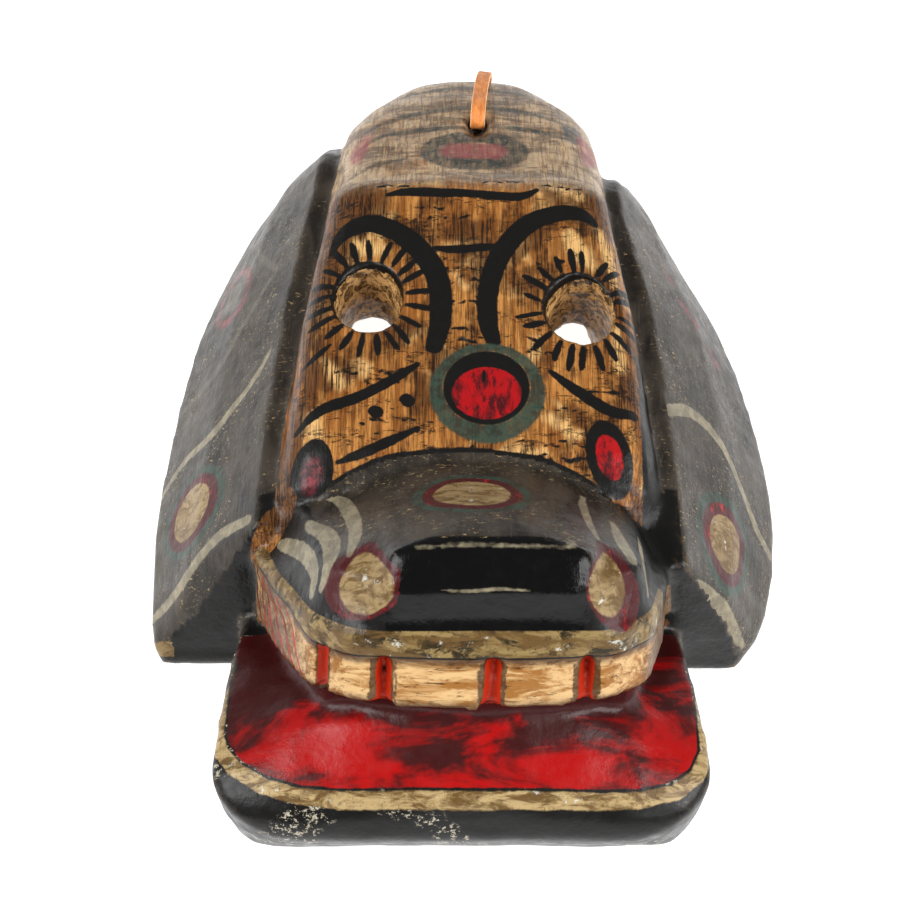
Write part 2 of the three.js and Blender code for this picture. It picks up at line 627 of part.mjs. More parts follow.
// Named mesh of a finished solid.
function meshOf(name, solid, finish) {
  const made = solid.getMesh();
  const geometry = new THREE.BufferGeometry();
  geometry.setAttribute("position", new THREE.BufferAttribute(new Float32Array(made.vertProperties), 3));
  geometry.setIndex(new THREE.BufferAttribute(new Uint32Array(made.triVerts), 1));
  const flat = geometry.toNonIndexed();
  flat.computeVertexNormals();
  const mesh = new THREE.Mesh(flat, new THREE.MeshStandardMaterial(finish));
  mesh.name = name;
  return mesh;
}

// The carved block is joined first and then hollowed, bored and cut.
let carved = headSolid().add(jawSolid()).add(snoutSolid());
carved = carved.add(earSolid(LEFT_EAR)).add(earSolid(RIGHT_EAR));
carved = carved.subtract(hollowSolid());
carved = carved.subtract(eyeSolid(EYE_LEFT)).subtract(eyeSolid(EYE_RIGHT));
carved = carved.subtract(loopHoleSolid());
for (const gap of TOOTH_GAPS) carved = carved.subtract(toothGapSolid(gap));

const dogMask = new THREE.Group();
dogMask.add(meshOf("carved_mask", carved, WOOD));
dogMask.add(meshOf("leather_loop", loopSolid(), LEATHER));

// The origin is below the middle of the wooden mask, on the table.
const box = new THREE.Box3().setFromObject(dogMask.getObjectByName("carved_mask"));
for (const mesh of dogMask.children) {
  mesh.position.set(-(box.min.x + box.max.x) / 2, -(box.min.y + box.max.y) / 2, -box.min.z);
}

export default dogMask;
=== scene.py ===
import logging
import math
import random
from dataclasses import dataclass
from enum import Enum
from typing import ClassVar, Sequence

import bmesh
import bpy
import numpy as np
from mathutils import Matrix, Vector, noise


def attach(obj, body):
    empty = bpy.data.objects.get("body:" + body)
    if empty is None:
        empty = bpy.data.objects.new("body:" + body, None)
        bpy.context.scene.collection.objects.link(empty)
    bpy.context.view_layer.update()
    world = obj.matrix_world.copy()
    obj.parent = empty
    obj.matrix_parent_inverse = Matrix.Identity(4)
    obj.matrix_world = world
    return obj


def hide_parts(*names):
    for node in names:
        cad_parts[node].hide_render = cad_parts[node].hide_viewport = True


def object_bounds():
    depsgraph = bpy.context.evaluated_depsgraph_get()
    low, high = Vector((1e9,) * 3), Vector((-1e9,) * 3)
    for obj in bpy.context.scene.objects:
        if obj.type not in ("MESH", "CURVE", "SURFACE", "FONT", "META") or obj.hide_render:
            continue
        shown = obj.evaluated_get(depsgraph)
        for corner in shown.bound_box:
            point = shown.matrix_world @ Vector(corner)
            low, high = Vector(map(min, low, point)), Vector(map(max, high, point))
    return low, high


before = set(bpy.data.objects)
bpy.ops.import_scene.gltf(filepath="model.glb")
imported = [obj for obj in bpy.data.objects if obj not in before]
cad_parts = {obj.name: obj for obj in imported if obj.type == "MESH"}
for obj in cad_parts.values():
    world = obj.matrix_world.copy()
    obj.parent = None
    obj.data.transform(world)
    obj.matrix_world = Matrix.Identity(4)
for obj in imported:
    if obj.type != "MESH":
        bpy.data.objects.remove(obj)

LOG = logging.getLogger("dog_mask")
CAD_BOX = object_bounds()

MM = 0.001
DRAWING_ORIGIN = np.array([-1.25, 37.35, 0.0])
SEED = 11
FAR = 30.0

# Snout frame, as the solid has it: u across, v forward, w up from the biting edge.
BITE_POINT = np.array([0.0, -87.0, 75.0])
SNOUT_TILT = math.radians(38.5)
SNOUT_SHIFT = (3.0, 7.0)
SNOUT_LENGTH = 70.0
SNOUT_TOP_W = 51.0
TEETH_TOP_W = 15.8
LIP_TOP_W = 24.8
NOSE_RIDGE_W = 39.0

# Height and half width of the head along the mask, in the drawing's millimetres.
FACE_LINE = (
    (-42, 33), (-33.8, 47.1), (-21.9, 63.4), (-8, 76), (8, 79), (102, 77), (112, 72),
    (179, 39.5), (185, 34), (188, 28.5), (190, 21),
)
HALF_LINE = ((-42, 69), (-8, 62.5), (57, 54.5), (107, 48), (150, 45.5), (161, 41.5), (181, 25.5), (190, 17))
FLAT_LINE = ((-42, 45), (0, 45), (107, 31), (160, 23), (190, 8.5))
DROP_LINE = ((-42, 11), (-8, 19), (57, 11), (160, 14), (190, 11))
HEAD_FLARE = 5.0

EYES = ((-32.7, 56.7), (36.8, 52.4))
EYE_HALF = (11.2, 13.3)
EAR_SLOPE = 1.32
EAR_X = 60.0
CROWN_Y = 105.0
MOUTH_Y = -10.0
MUZZLE_TOP_W = 44.0

Path = Sequence[tuple[float, ...]]


def metres(point: Sequence[float]) -> Vector:
    """A point of the drawing in the scene's metres."""
    return Vector([float(c) for c in (np.array(point, float) - DRAWING_ORIGIN) * MM])


def smooth_line(pairs: Path, at: np.ndarray) -> np.ndarray:
    """Values of the smooth line through rising pairs, as the solid's own sizes run.

    Args:
        pairs: Position and value pairs in rising order.
        at: Positions to read the line at.

    Returns:
        The line's value at each position.
    """
    px = np.array([p[0] for p in pairs], float)
    pv = np.array([p[1] for p in pairs], float)
    rise = np.diff(pv) / np.diff(px)
    slope = np.zeros(len(px))
    slope[0], slope[-1] = rise[0], rise[-1]
    product = rise[:-1] * rise[1:]
    total = np.where(np.abs(rise[:-1] + rise[1:]) < 1e-9, 1.0, rise[:-1] + rise[1:])
    slope[1:-1] = np.where(product <= 0, 0.0, 2 * product / total)
    x = np.clip(at, px[0], px[-1])
    i = np.clip(np.searchsorted(px, x, side="right") - 1, 0, len(px) - 2)
    span = px[i + 1] - px[i]
    t = (x - px[i]) / span
    start = (1 + 2 * t) * (1 - t) ** 2 * pv[i] + t * (1 - t) ** 2 * span * slope[i]
    end = t * t * (3 - 2 * t) * pv[i + 1] + t * t * (t - 1) * span * slope[i + 1]
    return start + end


def rounded(path: Path, steps: int = 5) -> np.ndarray:
    """Points of a smooth line through a path's own points.

    Args:
        path: Points that the line passes through.
        steps: Pieces between two of the path's points.

    Returns:
        The points of the line, one row each.
    """
    points = np.array(path, float)
    if len(points) < 3:
        return points
    before, after = 2 * points[0] - points[1], 2 * points[-1] - points[-2]
    padded = np.vstack((before, points, after))
    line = []
    for i in range(1, len(padded) - 2):
        p0, p1, p2, p3 = padded[i - 1:i + 3]
        for t in np.arange(steps) / steps:
            bend = (2 * p0 - 5 * p1 + 4 * p2 - p3) * t * t + (3 * p1 - p0 - 3 * p2 + p3) * t ** 3
            line.append(0.5 * (2 * p1 + (p2 - p0) * t + bend))
    line.append(points[-1])
    return np.array(line)


@dataclass(frozen=True)
class Stroke:
    """One brush stroke: chart places along it, each ending in its half width in mm."""

    path: Path

    def distance(self, places: np.ndarray) -> np.ndarray:
        """Signed distance to the stroke's edge, negative on the paint.

        Args:
            places: Chart places of the vertices.

        Returns:
            Signed distance in mm at each place.
        """
        line = rounded(self.path)
        points, widths = line[:, :-1], line[:, -1]
        reach = 6 + widths.max()
        near = np.all((places > points.min(axis=0) - reach) & (places < points.max(axis=0) + reach), axis=1)
        inside = places[near]
        best = np.full(len(inside), FAR)
        for i in range(len(points) - 1):
            step = points[i + 1] - points[i]
            share = np.clip((inside - points[i]) @ step / max(step @ step, 1e-9), 0, 1)
            away = np.linalg.norm(inside - points[i] - share[:, None] * step, axis=1)
            best = np.minimum(best, away - (widths[i] + share * (widths[i + 1] - widths[i])))
        distance = np.full(len(places), FAR)
        distance[near] = best
        return distance


Strokes = tuple[Stroke, ...]


def strokes(*paths: Path) -> Strokes:
    """One brush stroke for each path."""
    return tuple(Stroke(path) for path in paths)


@dataclass(frozen=True)
class Oval:
    """An oval of paint from its centre and two half axes in a chart."""

    centre: tuple[float, float]
    across: tuple[float, float]
    along: tuple[float, float]

    def level(self, places: np.ndarray) -> np.ndarray:
        """How far out each place is, 1 on the oval's outline.

        Args:
            places: Places of the vertices in the chart.

        Returns:
            The share of the oval's size at each place.
        """
        axes = np.array([self.across, self.along], float).T
        local = (places - np.array(self.centre)) @ np.linalg.inv(axes).T
        return np.linalg.norm(local, axis=1)

    def size(self) -> float:
        """The shorter half axis in mm."""
        return min(math.hypot(*self.across), math.hypot(*self.along))

    def disc(self, places: np.ndarray, share: float = 1.0) -> np.ndarray:
        """Signed distance to the oval at a share of its size."""
        return (self.level(places) - share) * self.size()

    def ring(self, places: np.ndarray, inner: float, outer: float) -> np.ndarray:
        """Signed distance to the ring between two shares of the oval's size."""
        level = self.level(places)
        return np.maximum(level - outer, inner - level) * self.size()


class Charts:
    """Places of a mesh's vertices in the flat charts that the motifs are drawn on."""

    def __init__(self, places: np.ndarray, normals: np.ndarray) -> None:
        """Keep the vertices in the drawing's millimetres.

        Args:
            places: Vertex positions in metres.
            normals: Vertex normals.
        """
        self.place = places / MM + DRAWING_ORIGIN
        self.normal = normals
        self.x, self.y, self.z = self.place.T
        forward, up = self.y - BITE_POINT[1], self.z - BITE_POINT[2]
        self.v = -forward * math.cos(SNOUT_TILT) + up * math.sin(SNOUT_TILT)
        self.w = forward * math.sin(SNOUT_TILT) + up * math.cos(SNOUT_TILT)
        rising = np.clip(self.w / SNOUT_TOP_W, 0, 1)
        reach = np.clip(1 + self.v / SNOUT_LENGTH, 0, 1)
        self.u = self.x - (SNOUT_SHIFT[0] + (SNOUT_SHIFT[1] - SNOUT_SHIFT[0]) * rising) * reach
        self.outside_head = self._outside_head()
        left = np.interp(self.v, (-96, -60, -15, 0), (55, 69, 53, 45))
        right = np.interp(self.v, (-96, -60, -15, 0), (50, 63.5, 52, 45))
        self.outside_snout = np.where(self.u < 0, -self.u - left, self.u - right)
        self.face = np.column_stack((self.x, self.y))
        self.ear = np.column_stack((self.y, self.z * EAR_SLOPE))
        self.snout = np.column_stack((self.u, self.v, self.w))
        self.snout_front = np.column_stack((self.u, self.w))
        self.snout_top = np.column_stack((self.u, self.v))

    def _outside_head(self) -> np.ndarray:
        """How far each vertex stands out of the head's own block.

        Returns:
            Distance in mm, negative inside the block.
        """
        across = np.abs(self.x)
        middle, half = smooth_line(FACE_LINE, self.y), smooth_line(HALF_LINE, self.y)
        flat, drop = smooth_line(FLAT_LINE, self.y), smooth_line(DROP_LINE, self.y)
        share = np.clip((across - flat) / (half - flat), 0, 1)
        top = np.where(across < flat, middle + 0.8, middle - drop + drop * np.sqrt(1 - share**2))
        side = half + HEAD_FLARE * np.clip(1 - self.z / (middle - drop), 0, 1)
        gap_stain_and_shade, above = across - side, self.z - top
        over = np.where(across < half, above, np.maximum(gap_stain_and_shade, above))
        out = np.where(self.z > middle - drop, over, gap_stain_and_shade)
        return np.where(self.y < FACE_LINE[0][0], 9.0, out)


@dataclass
class MaskPaint:
    """The folk painter's motifs: each layer is a signed distance kept on the mesh."""

    charts: Charts
    brows: Strokes = strokes(
        (
            (-45.8, 76, 0.8), (-43.2, 82, 2.4), (-38.6, 86, 3.4), (-31.6, 87.2, 3.7), (-21.8, 82, 3.9),
            (-13.6, 72, 3.9), (-9.4, 60.7, 3.8), (-9.0, 47.1, 3.6), (-10.8, 37, 3.0),
        ),
        (
            (8.3, 39, 2.5), (6.7, 45, 3.2), (6.3, 55, 3.4), (8.3, 66.4, 3.5), (13, 77.6, 3.6),
            (20.9, 87.2, 3.6), (31.1, 91.8, 3.4), (38.6, 91.6, 2.8), (42.6, 88.8, 1.4),
        ),
    )
    forehead_lines: Strokes = strokes(
        (
            (-27.5, 99.8, 0.8), (-20, 100.8, 2.0), (-10, 100.2, 2.1), (0.7, 99.6, 1.8), (10.5, 98.4, 1.9),
            (18, 98.6, 1.8), (23.5, 101.6, 0.9),
        ),
        ((-10.8, 76.6, 0.9), (-5, 75.8, 1.7), (4, 76.4, 1.7), (10.4, 77.2, 0.9)),
    )
    crown_lines: Strokes = strokes(
        (
            (-37, 144, 0.7), (-27, 151, 1.3), (-13.8, 155.6, 1.5), (2.6, 158, 1.3), (19, 156, 1.4),
            (35, 149, 0.8),
        ),
        (
            (-40, 131, 0.6), (-30, 139.5, 1.4), (-14, 142.5, 1.5), (2, 144, 1.1), (20, 143, 1.4),
            (38, 137, 0.9),
        ),
        ((-42, 112, 0.4), (-33, 119, 1.0), (-22, 122.5, 0.9)),
        ((-24, 171, 0.8), (0, 175, 1.5), (22, 170, 0.8)),
    )
    cheek_lines: Strokes = strokes(
        (
            (-55, 6.8, 0.9), (-47.5, 13.0, 2.0), (-40, 16.0, 2.1), (-33.5, 18.6, 2.0), (-22.8, 25.2, 1.8),
            (-16.4, 29.9, 1.0),
        ),
        ((-41, -4.6, 0.7), (-33, -1.8, 1.7), (-26, 1.2, 1.8), (-15.6, 6.2, 0.8)),
        ((26.6, 27.2, 0.9), (33, 21.8, 1.8), (39, 17, 2.1), (46, 12.8, 2.1), (52.8, 12.6, 1.7)),
        ((-29.8, 12.6, 2.0), (-29.0, 12.0, 2.2)),
        ((-19.8, 16.8, 2.1), (-19.0, 16.0, 2.3)),
        ((-54, 31, 0.5), (-49, 34.5, 1.2), (-44.5, 38.5, 0.5)),
    )
    muzzle_edge: Path = (
        (-66, -34), (-58, -23), (-52, -15.4), (-43.3, -10.4), (-33.9, -5.5), (-21.4, -1.8), (-0.9, -0.6),
        (19.5, -2.6), (35.2, -8.2), (47.6, -17.4), (56, -25), (62, -38),
    )
    right_side_x: float = 55.2
    cheek_strip: Stroke = Stroke(
        (
            (-56, -12, 68, 3), (-60.5, -18, 64, 4.5), (-64, -24, 57, 5), (-66, -31, 51, 5),
            (-68.5, -35, 43, 4),
        ),
    )
    forehead_oval: Oval = Oval((2.2, 127.5), (17.5, 0), (0, 12))
    crown_smears: Strokes = strokes(
        ((-39, 124, 1.5), (-38.5, 132, 3.2), (-36, 141, 1.6)),
        ((41.5, 124, 1.6), (43.2, 133, 3.4), (40.5, 142, 1.8)),
        ((9, 127, 5.0), (-5, 127.5, 5.0)),
    )
    crown_dark_spot: Stroke = Stroke(((36.6, 147, 3.0), (38, 142, 3.4), (37.6, 138, 2.0)))
    bridge_disc: Oval = Oval((6.0, 18.9), (11.1, 0), (0, 9.8))
    bridge_black: Oval = Oval((5.9, 21.0), (13.9, 0), (0, 13.9))
    bridge_green: Oval = Oval((6.2, 19.4), (18.5, 0), (0, 18.4))
    disc_streak: Stroke = Stroke(((5.2, 27.0, 0.7), (5.0, 24, 0.5), (5.4, 20, 0.2)))
    left_cheek_oval: Oval = Oval((-49.4, -7.9), (7.0, -1.2), (1.6, 11.2))
    right_cheek_oval: Oval = Oval((44.6, -2.8), (7.1, 1.2), (-2.6, 12.2))
    muzzle_oval: Oval = Oval((-2.3, -34.8), (17.6, 0), (0, 14.4))
    facet_rings: tuple[Oval, ...] = (
        Oval((-35.7, 36.4), (11.4, 4.1), (-0.2, 9.2)),
        Oval((37.0, 35.0), (6.1, 3.9), (6.8, -10.9)),
    )
    facet_centres: tuple[Oval, ...] = (
        Oval((-34.9, 36.7), (7.7, 2.7), (-0.2, 7.7)),
        Oval((34.9, 36.6), (4.6, 2.6), (4.1, -8.0)),
    )
    whiskers: Strokes = strokes(
        (
            (-60.5, -55, 28.5, 1.6), (-58.9, -50.4, 30.2, 2.4), (-53.8, -36.9, 34.1, 2.9),
            (-50.8, -27.4, 34.6, 3.0), (-49.8, -21.4, 32.8, 2.7), (-50.7, -18.8, 28.5, 1.8),
        ),
        (
            (-51, -47, 38.6, 1.4), (-50.1, -42.1, 39.7, 2.4), (-46.3, -34, 40.9, 2.9),
            (-44.9, -25.8, 40.9, 3.0), (-45.8, -18.2, 39.9, 2.7), (-47.4, -15.2, 36.1, 2.1),
            (-48.3, -14.8, 31.5, 1.2),
        ),
        (
            (-45.6, -59.3, 42.7, 1.2), (-41.1, -54, 43.6, 2.2), (-38.6, -41.6, 44.6, 2.5),
            (-37.7, -29.5, 44.7, 2.4), (-38.6, -20.5, 44.1, 2.0), (-40, -15.5, 42.6, 1.0),
        ),
        ((33.6, -50, 46.5, 0.9), (32.4, -40, 47.2, 1.6), (32.3, -28, 47.2, 1.5), (33.4, -18, 46.6, 0.8)),
        ((41.6, -38, 43.0, 1.3), (41.9, -28, 42.8, 2.5), (42.6, -21, 41.8, 3.0), (43.9, -16.3, 40.6, 2.1)),
        ((50.0, -40, 36.0, 1.3), (50.0, -30, 36.0, 2.4), (50.2, -22, 34.0, 2.5), (50.6, -17, 29.0, 1.6)),
    )
    left_ear_lines: Strokes = strokes(
        (
            (52.7, 72.3, 1.1), (41.7, 65, 1.5), (35.6, 57, 1.8), (29.1, 47.5, 2.0), (27.5, 29, 1.6),
            (23, 17, 1.4), (18, 6, 1.2),
        ),
        (
            (-16.2, 79.5, 1.8), (-15.6, 63.2, 2.3), (-19.5, 49.6, 2.1), (-24.1, 32.6, 1.9),
            (-26.4, 13.4, 1.7), (-27, 4, 1.5),
        ),
    )
    left_ear_faint_lines: Strokes = strokes(
        ((87.8, 60.5, 1.0), (71.4, 50.3, 1.5), (60.5, 42.1, 1.9), (55, 24, 1.8), (52, 8, 1.4)),
        ((112, 38, 0.8), (99, 52, 1.3), (90, 62, 1.0)),
    )
    right_ear_lines: Strokes = strokes(
        (
            (24.2, 80, 2.0), (30.2, 66, 2.4), (28.5, 54.5, 2.3), (20.2, 45, 2.0), (9.7, 34, 1.9),
            (2.7, 26.5, 1.8), (-4.1, 12.5, 1.4),
        ),
        ((-35.4, 71, 1.2), (-35.0, 60, 1.6), (-35.9, 44.6, 1.6), (-37.8, 24, 1.3), (-38, 14, 0.8)),
    )
    left_ear_oval: Oval = Oval((2.2, 40.4), (-4.4, 17.6), (12.6, 5.8))
    left_ear_faint: Oval = Oval((93, 33), (-4.6, 19), (17.5, -2))
    right_ear_oval: Oval = Oval((-14.2, 51.6), (5.2, -14.6), (13.6, 5.6))
    right_ear_smears: Strokes = strokes(
        ((82, 50, 1.4), (77, 45, 2.0), (74, 43, 1.0)),
        ((69, 38, 1.6), (64, 33, 2.2)),
        ((96, 52, 0.6), (90, 50, 1.0)),
    )
    jaw_band: Path = (
        (-77.6, -40), (-77.6, -84), (-75.6, -90), (-70.8, -96.4), (-62, -102.4), (-51.5, -105.8),
        (-38.4, -107.4), (3.6, -108), (39.6, -107.6), (51.7, -106.8), (62.6, -103.8), (69.6, -98.2),
        (73.4, -90), (74, -40),
    )
    right_lip_back: float = -30
    side_tooth_lines: Path = ((-56, 1.1), (-49, 0.9), (-41.5, 1.0), (-34, 0.9), (-27, 0.8), (-21, 0.6))
    rubbed_places: Strokes = strokes(
        ((34, 82, 3), (37, 76, 4.5), (41, 70, 3)),
        ((44, 86, 2), (47, 76, 3), (49, 64, 2)),
        ((48, 44, 2), (49, 30, 2.5)),
        ((-36, 78, 3), (-30, 76, 3.5)),
        ((-46, 32, 2), (-40, 22, 2.5)),
        ((-50, 12, 2), (-47, 4, 2)),
        ((26, 10, 2), (34, 4, 2.5)),
        ((-5, 66, 1.5), (-1, 60, 2)),
        ((10, -3, 1.5), (24, -2, 2)),
        ((22, 40, 2), (20, 30, 2)),
        ((-28, 104, 1.5), (-10, 106, 2)),
        ((28, 104, 2), (38, 100, 2)),
    )
    nose_chips: Strokes = strokes(
        ((-22, 50.4, 0.25), (-8, 50.9, 0.45), (6, 50.8, 0.3), (25, 50.4, 0.4)),
        ((-14, 39.2, 0.2), (-6, 38.8, 0.6), (4, 39.4, 0.5), (12, 38.9, 0.2)),
    )
    dab_rows: Path = (
        (-19, -8, 94, 5), (-14, 3, 89, 6), (-7, 5, 68, 4), (-6, 4, 63.5, 4), (-5, 4, 55, 4),
        (-4, 5, 44, 4), (-3, 3, 39, 4), (-42, -20, 27.5, 12), (-36, -24, 23.5, 4), (18, 26, 40, 4),
        (19, 27, 35, 4), (38, 52, 20, 7), (22, 33, 13, 5), (-34, -12, 9, 9), (-30, -14, 5, 6),
        (-12, 8, -1, 6), (14, 36, 1, 9), (20, 40, -3.5, 7), (-45, -38, 96, 4), (26, 38, 103, 6),
        (-30, -22, 104, 4), (6, 18, 105.5, 6), (-46, -40, 60, 3), (-45, -36, 46, 4), (22, 30, 71, 3),
    )
    gap_places: tuple[float, ...] = (-46.5, -28.5, 3.5, 31.5)
    hollow_half: float = 58
    hollow_top: float = 49.5
    hollow_ends: tuple[float, float] = (-84, 158)
    bore_ends: tuple[float, float] = (40, 75.5)

    def __post_init__(self) -> None:
        """Find the vertices on the face and those that stand out of the head's block."""
        c = self.charts
        self.on_face = (c.z > 34) & (c.y > -45) & (c.outside_head < 4)
        self.carved = c.outside_head > 0.5

    def _only(self, where: np.ndarray, distance: np.ndarray) -> np.ndarray:
        """Keep a distance inside a region and push it away elsewhere."""
        return np.where(where, distance, FAR)

    def _all(self, *distances: np.ndarray) -> np.ndarray:
        """Union of several painted areas."""
        return np.minimum.reduce([np.full(len(self.charts.x), FAR), *distances])

    def _strokes(self, strokes: Sequence[Stroke], places: np.ndarray) -> np.ndarray:
        """Union of several strokes in one chart."""
        return self._all(*[stroke.distance(places) for stroke in strokes])

    def _polygon(self, corners: Path) -> np.ndarray:
        """Signed distance on the face chart to a closed outline, negative inside.

        Args:
            corners: Corners of the outline.

        Returns:
            Signed distance in mm.
        """
        near = np.full(len(self.charts.x), FAR)
        inside = np.zeros(len(near), bool)
        for start, end in zip(corners, list(corners[1:]) + [corners[0]]):
            (ax, ay), (bx, by) = start, end
            step = np.array(end, float) - start
            share = np.clip((self.charts.face - start) @ step / (step @ step), 0, 1)
            away = self.charts.face - start - share[:, None] * step
            near = np.minimum(near, np.linalg.norm(away, axis=1))
            crosses = (ay > self.charts.y) != (by > self.charts.y)
            run = ax + (self.charts.y - ay) * (bx - ax) / ((by - ay) or 1e-9)
            inside ^= crosses & (self.charts.x < run)
        return np.where(inside, -near, near)

    def lashes(self) -> np.ndarray:
        """Short strokes that stand round both eyes.

        Returns:
            Signed distance in mm, negative on the paint.
        """
        rand = random.Random(SEED)
        drawn = []
        for (cx, cy), count, start in ((EYES[0], 21, 0.1), (EYES[1], 21, 0.25)):
            for i in range(count):
                turn = start + 2 * math.pi * i / count + rand.uniform(-0.06, 0.06)
                inner, outer = rand.uniform(1.08, 1.18), rand.uniform(1.66, 1.92)
                width, bend = rand.uniform(0.95, 1.3), rand.uniform(-0.07, 0.07)
                path = []
                for share, thick in ((0.0, 0.65), (0.35, 1.0), (0.75, 1.0), (1.0, 0.6)):
                    far, angle = inner + (outer - inner) * share, turn + bend * share
                    x = cx + EYE_HALF[0] * far * math.cos(angle)
                    y = cy + EYE_HALF[1] * far * math.sin(angle)
                    path.append((x, y, width * thick))
                drawn.append(Stroke(tuple(path)))
        return self._only(self.charts.z > 62, self._strokes(drawn, self.charts.face))

    def dabs(self) -> np.ndarray:
        """Small dark dabs in broken rows across the face.

        Returns:
            Signed distance in mm, negative on the paint.
        """
        rand = random.Random(SEED + 1)
        drawn = []
        for start, end, level, count in self.dab_rows:
            for i in range(count):
                x = start + (end - start) * (i + rand.uniform(-0.3, 0.3)) / max(count - 1, 1)
                y = level + rand.uniform(-1.0, 1.0)
                length, lean = rand.uniform(0.4, 1.6), rand.uniform(-0.7, 0.5)
                width = rand.uniform(0.25, 0.75)
                drawn.append(Stroke(((x - length, y - lean, width * 0.6), (x + length, y + lean, width))))
        return self._strokes(drawn, self.charts.face)

    def eye_rims(self) -> np.ndarray:
        """Painted rims of the eye holes, thickest at the upper left.

        Returns:
            Signed distance in mm, negative on the paint.
        """
        rims = []
        for x, y in EYES:
            rim = Oval((x - 0.5, y + 0.8), (EYE_HALF[0] + 0.9, 0), (0, EYE_HALF[1] + 0.9))
            rims.append(rim.ring(self.charts.face, 0.8, 1.0))
        return self._only(self.charts.z > 71.5, self._all(*rims))

    def black(self) -> np.ndarray:
        """Black areas, lighter slate with painted sheen on some: ears, snout, jaw edge, brows, lashes and
        lines.

        Returns:
            Signed distance in mm, negative on the paint.
        """
        c = self.charts
        lines = (*self.brows, *self.forehead_lines, *self.cheek_lines)
        edge = (c.y - smooth_line(self.muzzle_edge, c.x)) * 0.9
        motifs = self._all(
            self._strokes(lines, c.face), self.dabs(), self.bridge_black.disc(c.face),
            self.left_cheek_oval.disc(c.face), self.right_cheek_oval.disc(c.face),
            self._only(np.abs(c.x) < 64, edge), self._only(c.y < 40, self.right_side_x - c.x),
        )
        motifs = self._only(self.on_face, motifs)
        painted = self._all(0.7 - c.outside_head, motifs, self.lashes(), self.eye_rims())
        return np.maximum(painted, -self.cheek_strip.distance(c.place))

    def rubbed(self) -> np.ndarray:
        """Where the wash is rubbed off the face down to the pale wood."""
        return self._only(self.on_face, self._strokes(self.rubbed_places, self.charts.face))

    def slate(self) -> np.ndarray:
        """Where the black is a lighter slate on the ears' outer faces and the muzzle's top: slate paint and
        painted sheen.

        Returns:
            Less than 0 on slate.
        """
        c = self.charts
        ears = (np.abs(c.normal[:, 0]) > 0.42) & (np.abs(c.x) > 66) & (c.y > -60)
        muzzle = (c.w > 40) & (c.v < -6) & self.carved
        above = self.on_face & (np.abs(c.x) < 60) & (c.w > 40)
        above &= c.y < smooth_line(self.muzzle_edge, c.x) - 1.6
        return np.where(ears | muzzle | above, -1.0, 1.0)

    def stain(self) -> np.ndarray:
        """Thinned dark paint over the crown: bands, the oval's rim and a spot.

        Returns:
            Signed distance in mm, negative on the paint.
        """
        c = self.charts
        rim = self.forehead_oval.ring(c.face, 0.5, 1.1)
        stain = self._all(self._strokes((*self.crown_lines, self.crown_dark_spot), c.face), rim)
        return self._only(self.on_face & (c.y > CROWN_Y), stain)

    def smear(self) -> np.ndarray:
        """Thinned red paint on the crown and high on the ears.

        Returns:
            Signed distance in mm, negative on the paint.
        """
        c = self.charts
        crown = self._only(self.on_face & (c.y > CROWN_Y), self._strokes(self.crown_smears, c.face))
        left = self._only((c.x < -EAR_X) & self.carved, self.left_ear_faint.ring(c.ear, 0.56, 0.8) + 0.5)
        right = self._only((c.x > EAR_X) & self.carved, self._strokes(self.right_ear_smears, c.ear))
        cheek = self._only(self.on_face, self.left_cheek_oval.disc(c.face, 0.42))
        return self._all(crown, left, right, cheek)

    def _tooth_top(self) -> np.ndarray:
        """Height at which the painted teeth end, which is more at the left corner of the mouth."""
        left = np.interp(self.charts.v, (-45, -26, -12), (20.4, 19.6, TEETH_TOP_W))
        return np.where(self.charts.u < 0, left, TEETH_TOP_W)

    def lip(self) -> np.ndarray:
        """Olive band above the teeth.

        Returns:
            Signed distance in mm, negative on the paint.
        """
        c = self.charts
        back = np.where(c.u < 0, -60, self.right_lip_back) - c.v
        low = self._tooth_top() + 0.5 - c.w
        band = np.maximum.reduce([c.w - LIP_TOP_W, low, c.outside_snout - 1.5, back])
        return self._only(self.carved & (c.y < MOUTH_Y), band)

    def teeth(self) -> np.ndarray:
        """Cream teeth.

        Returns:
            Signed distance in mm, negative on the paint.
        """
        c = self.charts
        high = c.w - self._tooth_top() + 0.2
        band = np.maximum.reduce([high, 0.2 - c.w, c.outside_snout - 1.5, -72 - c.v])
        return self._only(self.carved & (c.y < MOUTH_Y), band)

    def gaps(self) -> np.ndarray:
        """How deep each vertex lies in a gap between the teeth, or less than 0 by its distance from one.

        Returns:
            Depth in mm at each vertex, or minus the distance to the nearest gap.
        """
        c = self.charts
        across = np.abs(c.u)
        bow = np.interp(c.w, (0, TEETH_TOP_W), (6, 2.4)) * (1 - np.clip(across / 40, 0, 1) ** 2)
        front = -3.5 + bow + np.interp(across, (40, 42, 50.5, 54), (0, -2, -9.5, -16))
        near = np.minimum.reduce([np.abs(c.u - place) for place in self.gap_places])
        inside = (near < 4.2) & (c.w > 0) & (c.w < TEETH_TOP_W) & (c.v > -22)
        deep = np.maximum(np.where(inside & (across < 40), front - c.v, 0.0), self.corner_groove() * 1.5)
        return np.where(deep > 0, deep, -near)

    def corner_groove(self) -> np.ndarray:
        """Depth of the narrow groove between the last front tooth and the side teeth.

        Returns:
            Depth in mm at each vertex.
        """
        c = self.charts
        depth = 2.6 * np.clip(1 - ((c.u - self.gap_places[0]) / 2.1) ** 2, 0, 1)
        return np.where((c.w > 0.3) & (c.w < TEETH_TOP_W) & (c.v > -17) & (c.v < -4), depth, 0.0)

    def jaw(self) -> np.ndarray:
        """Whole lower jaw with the recess under the teeth."""
        return np.maximum(self.charts.y + 43.5, self.charts.w + 0.2)

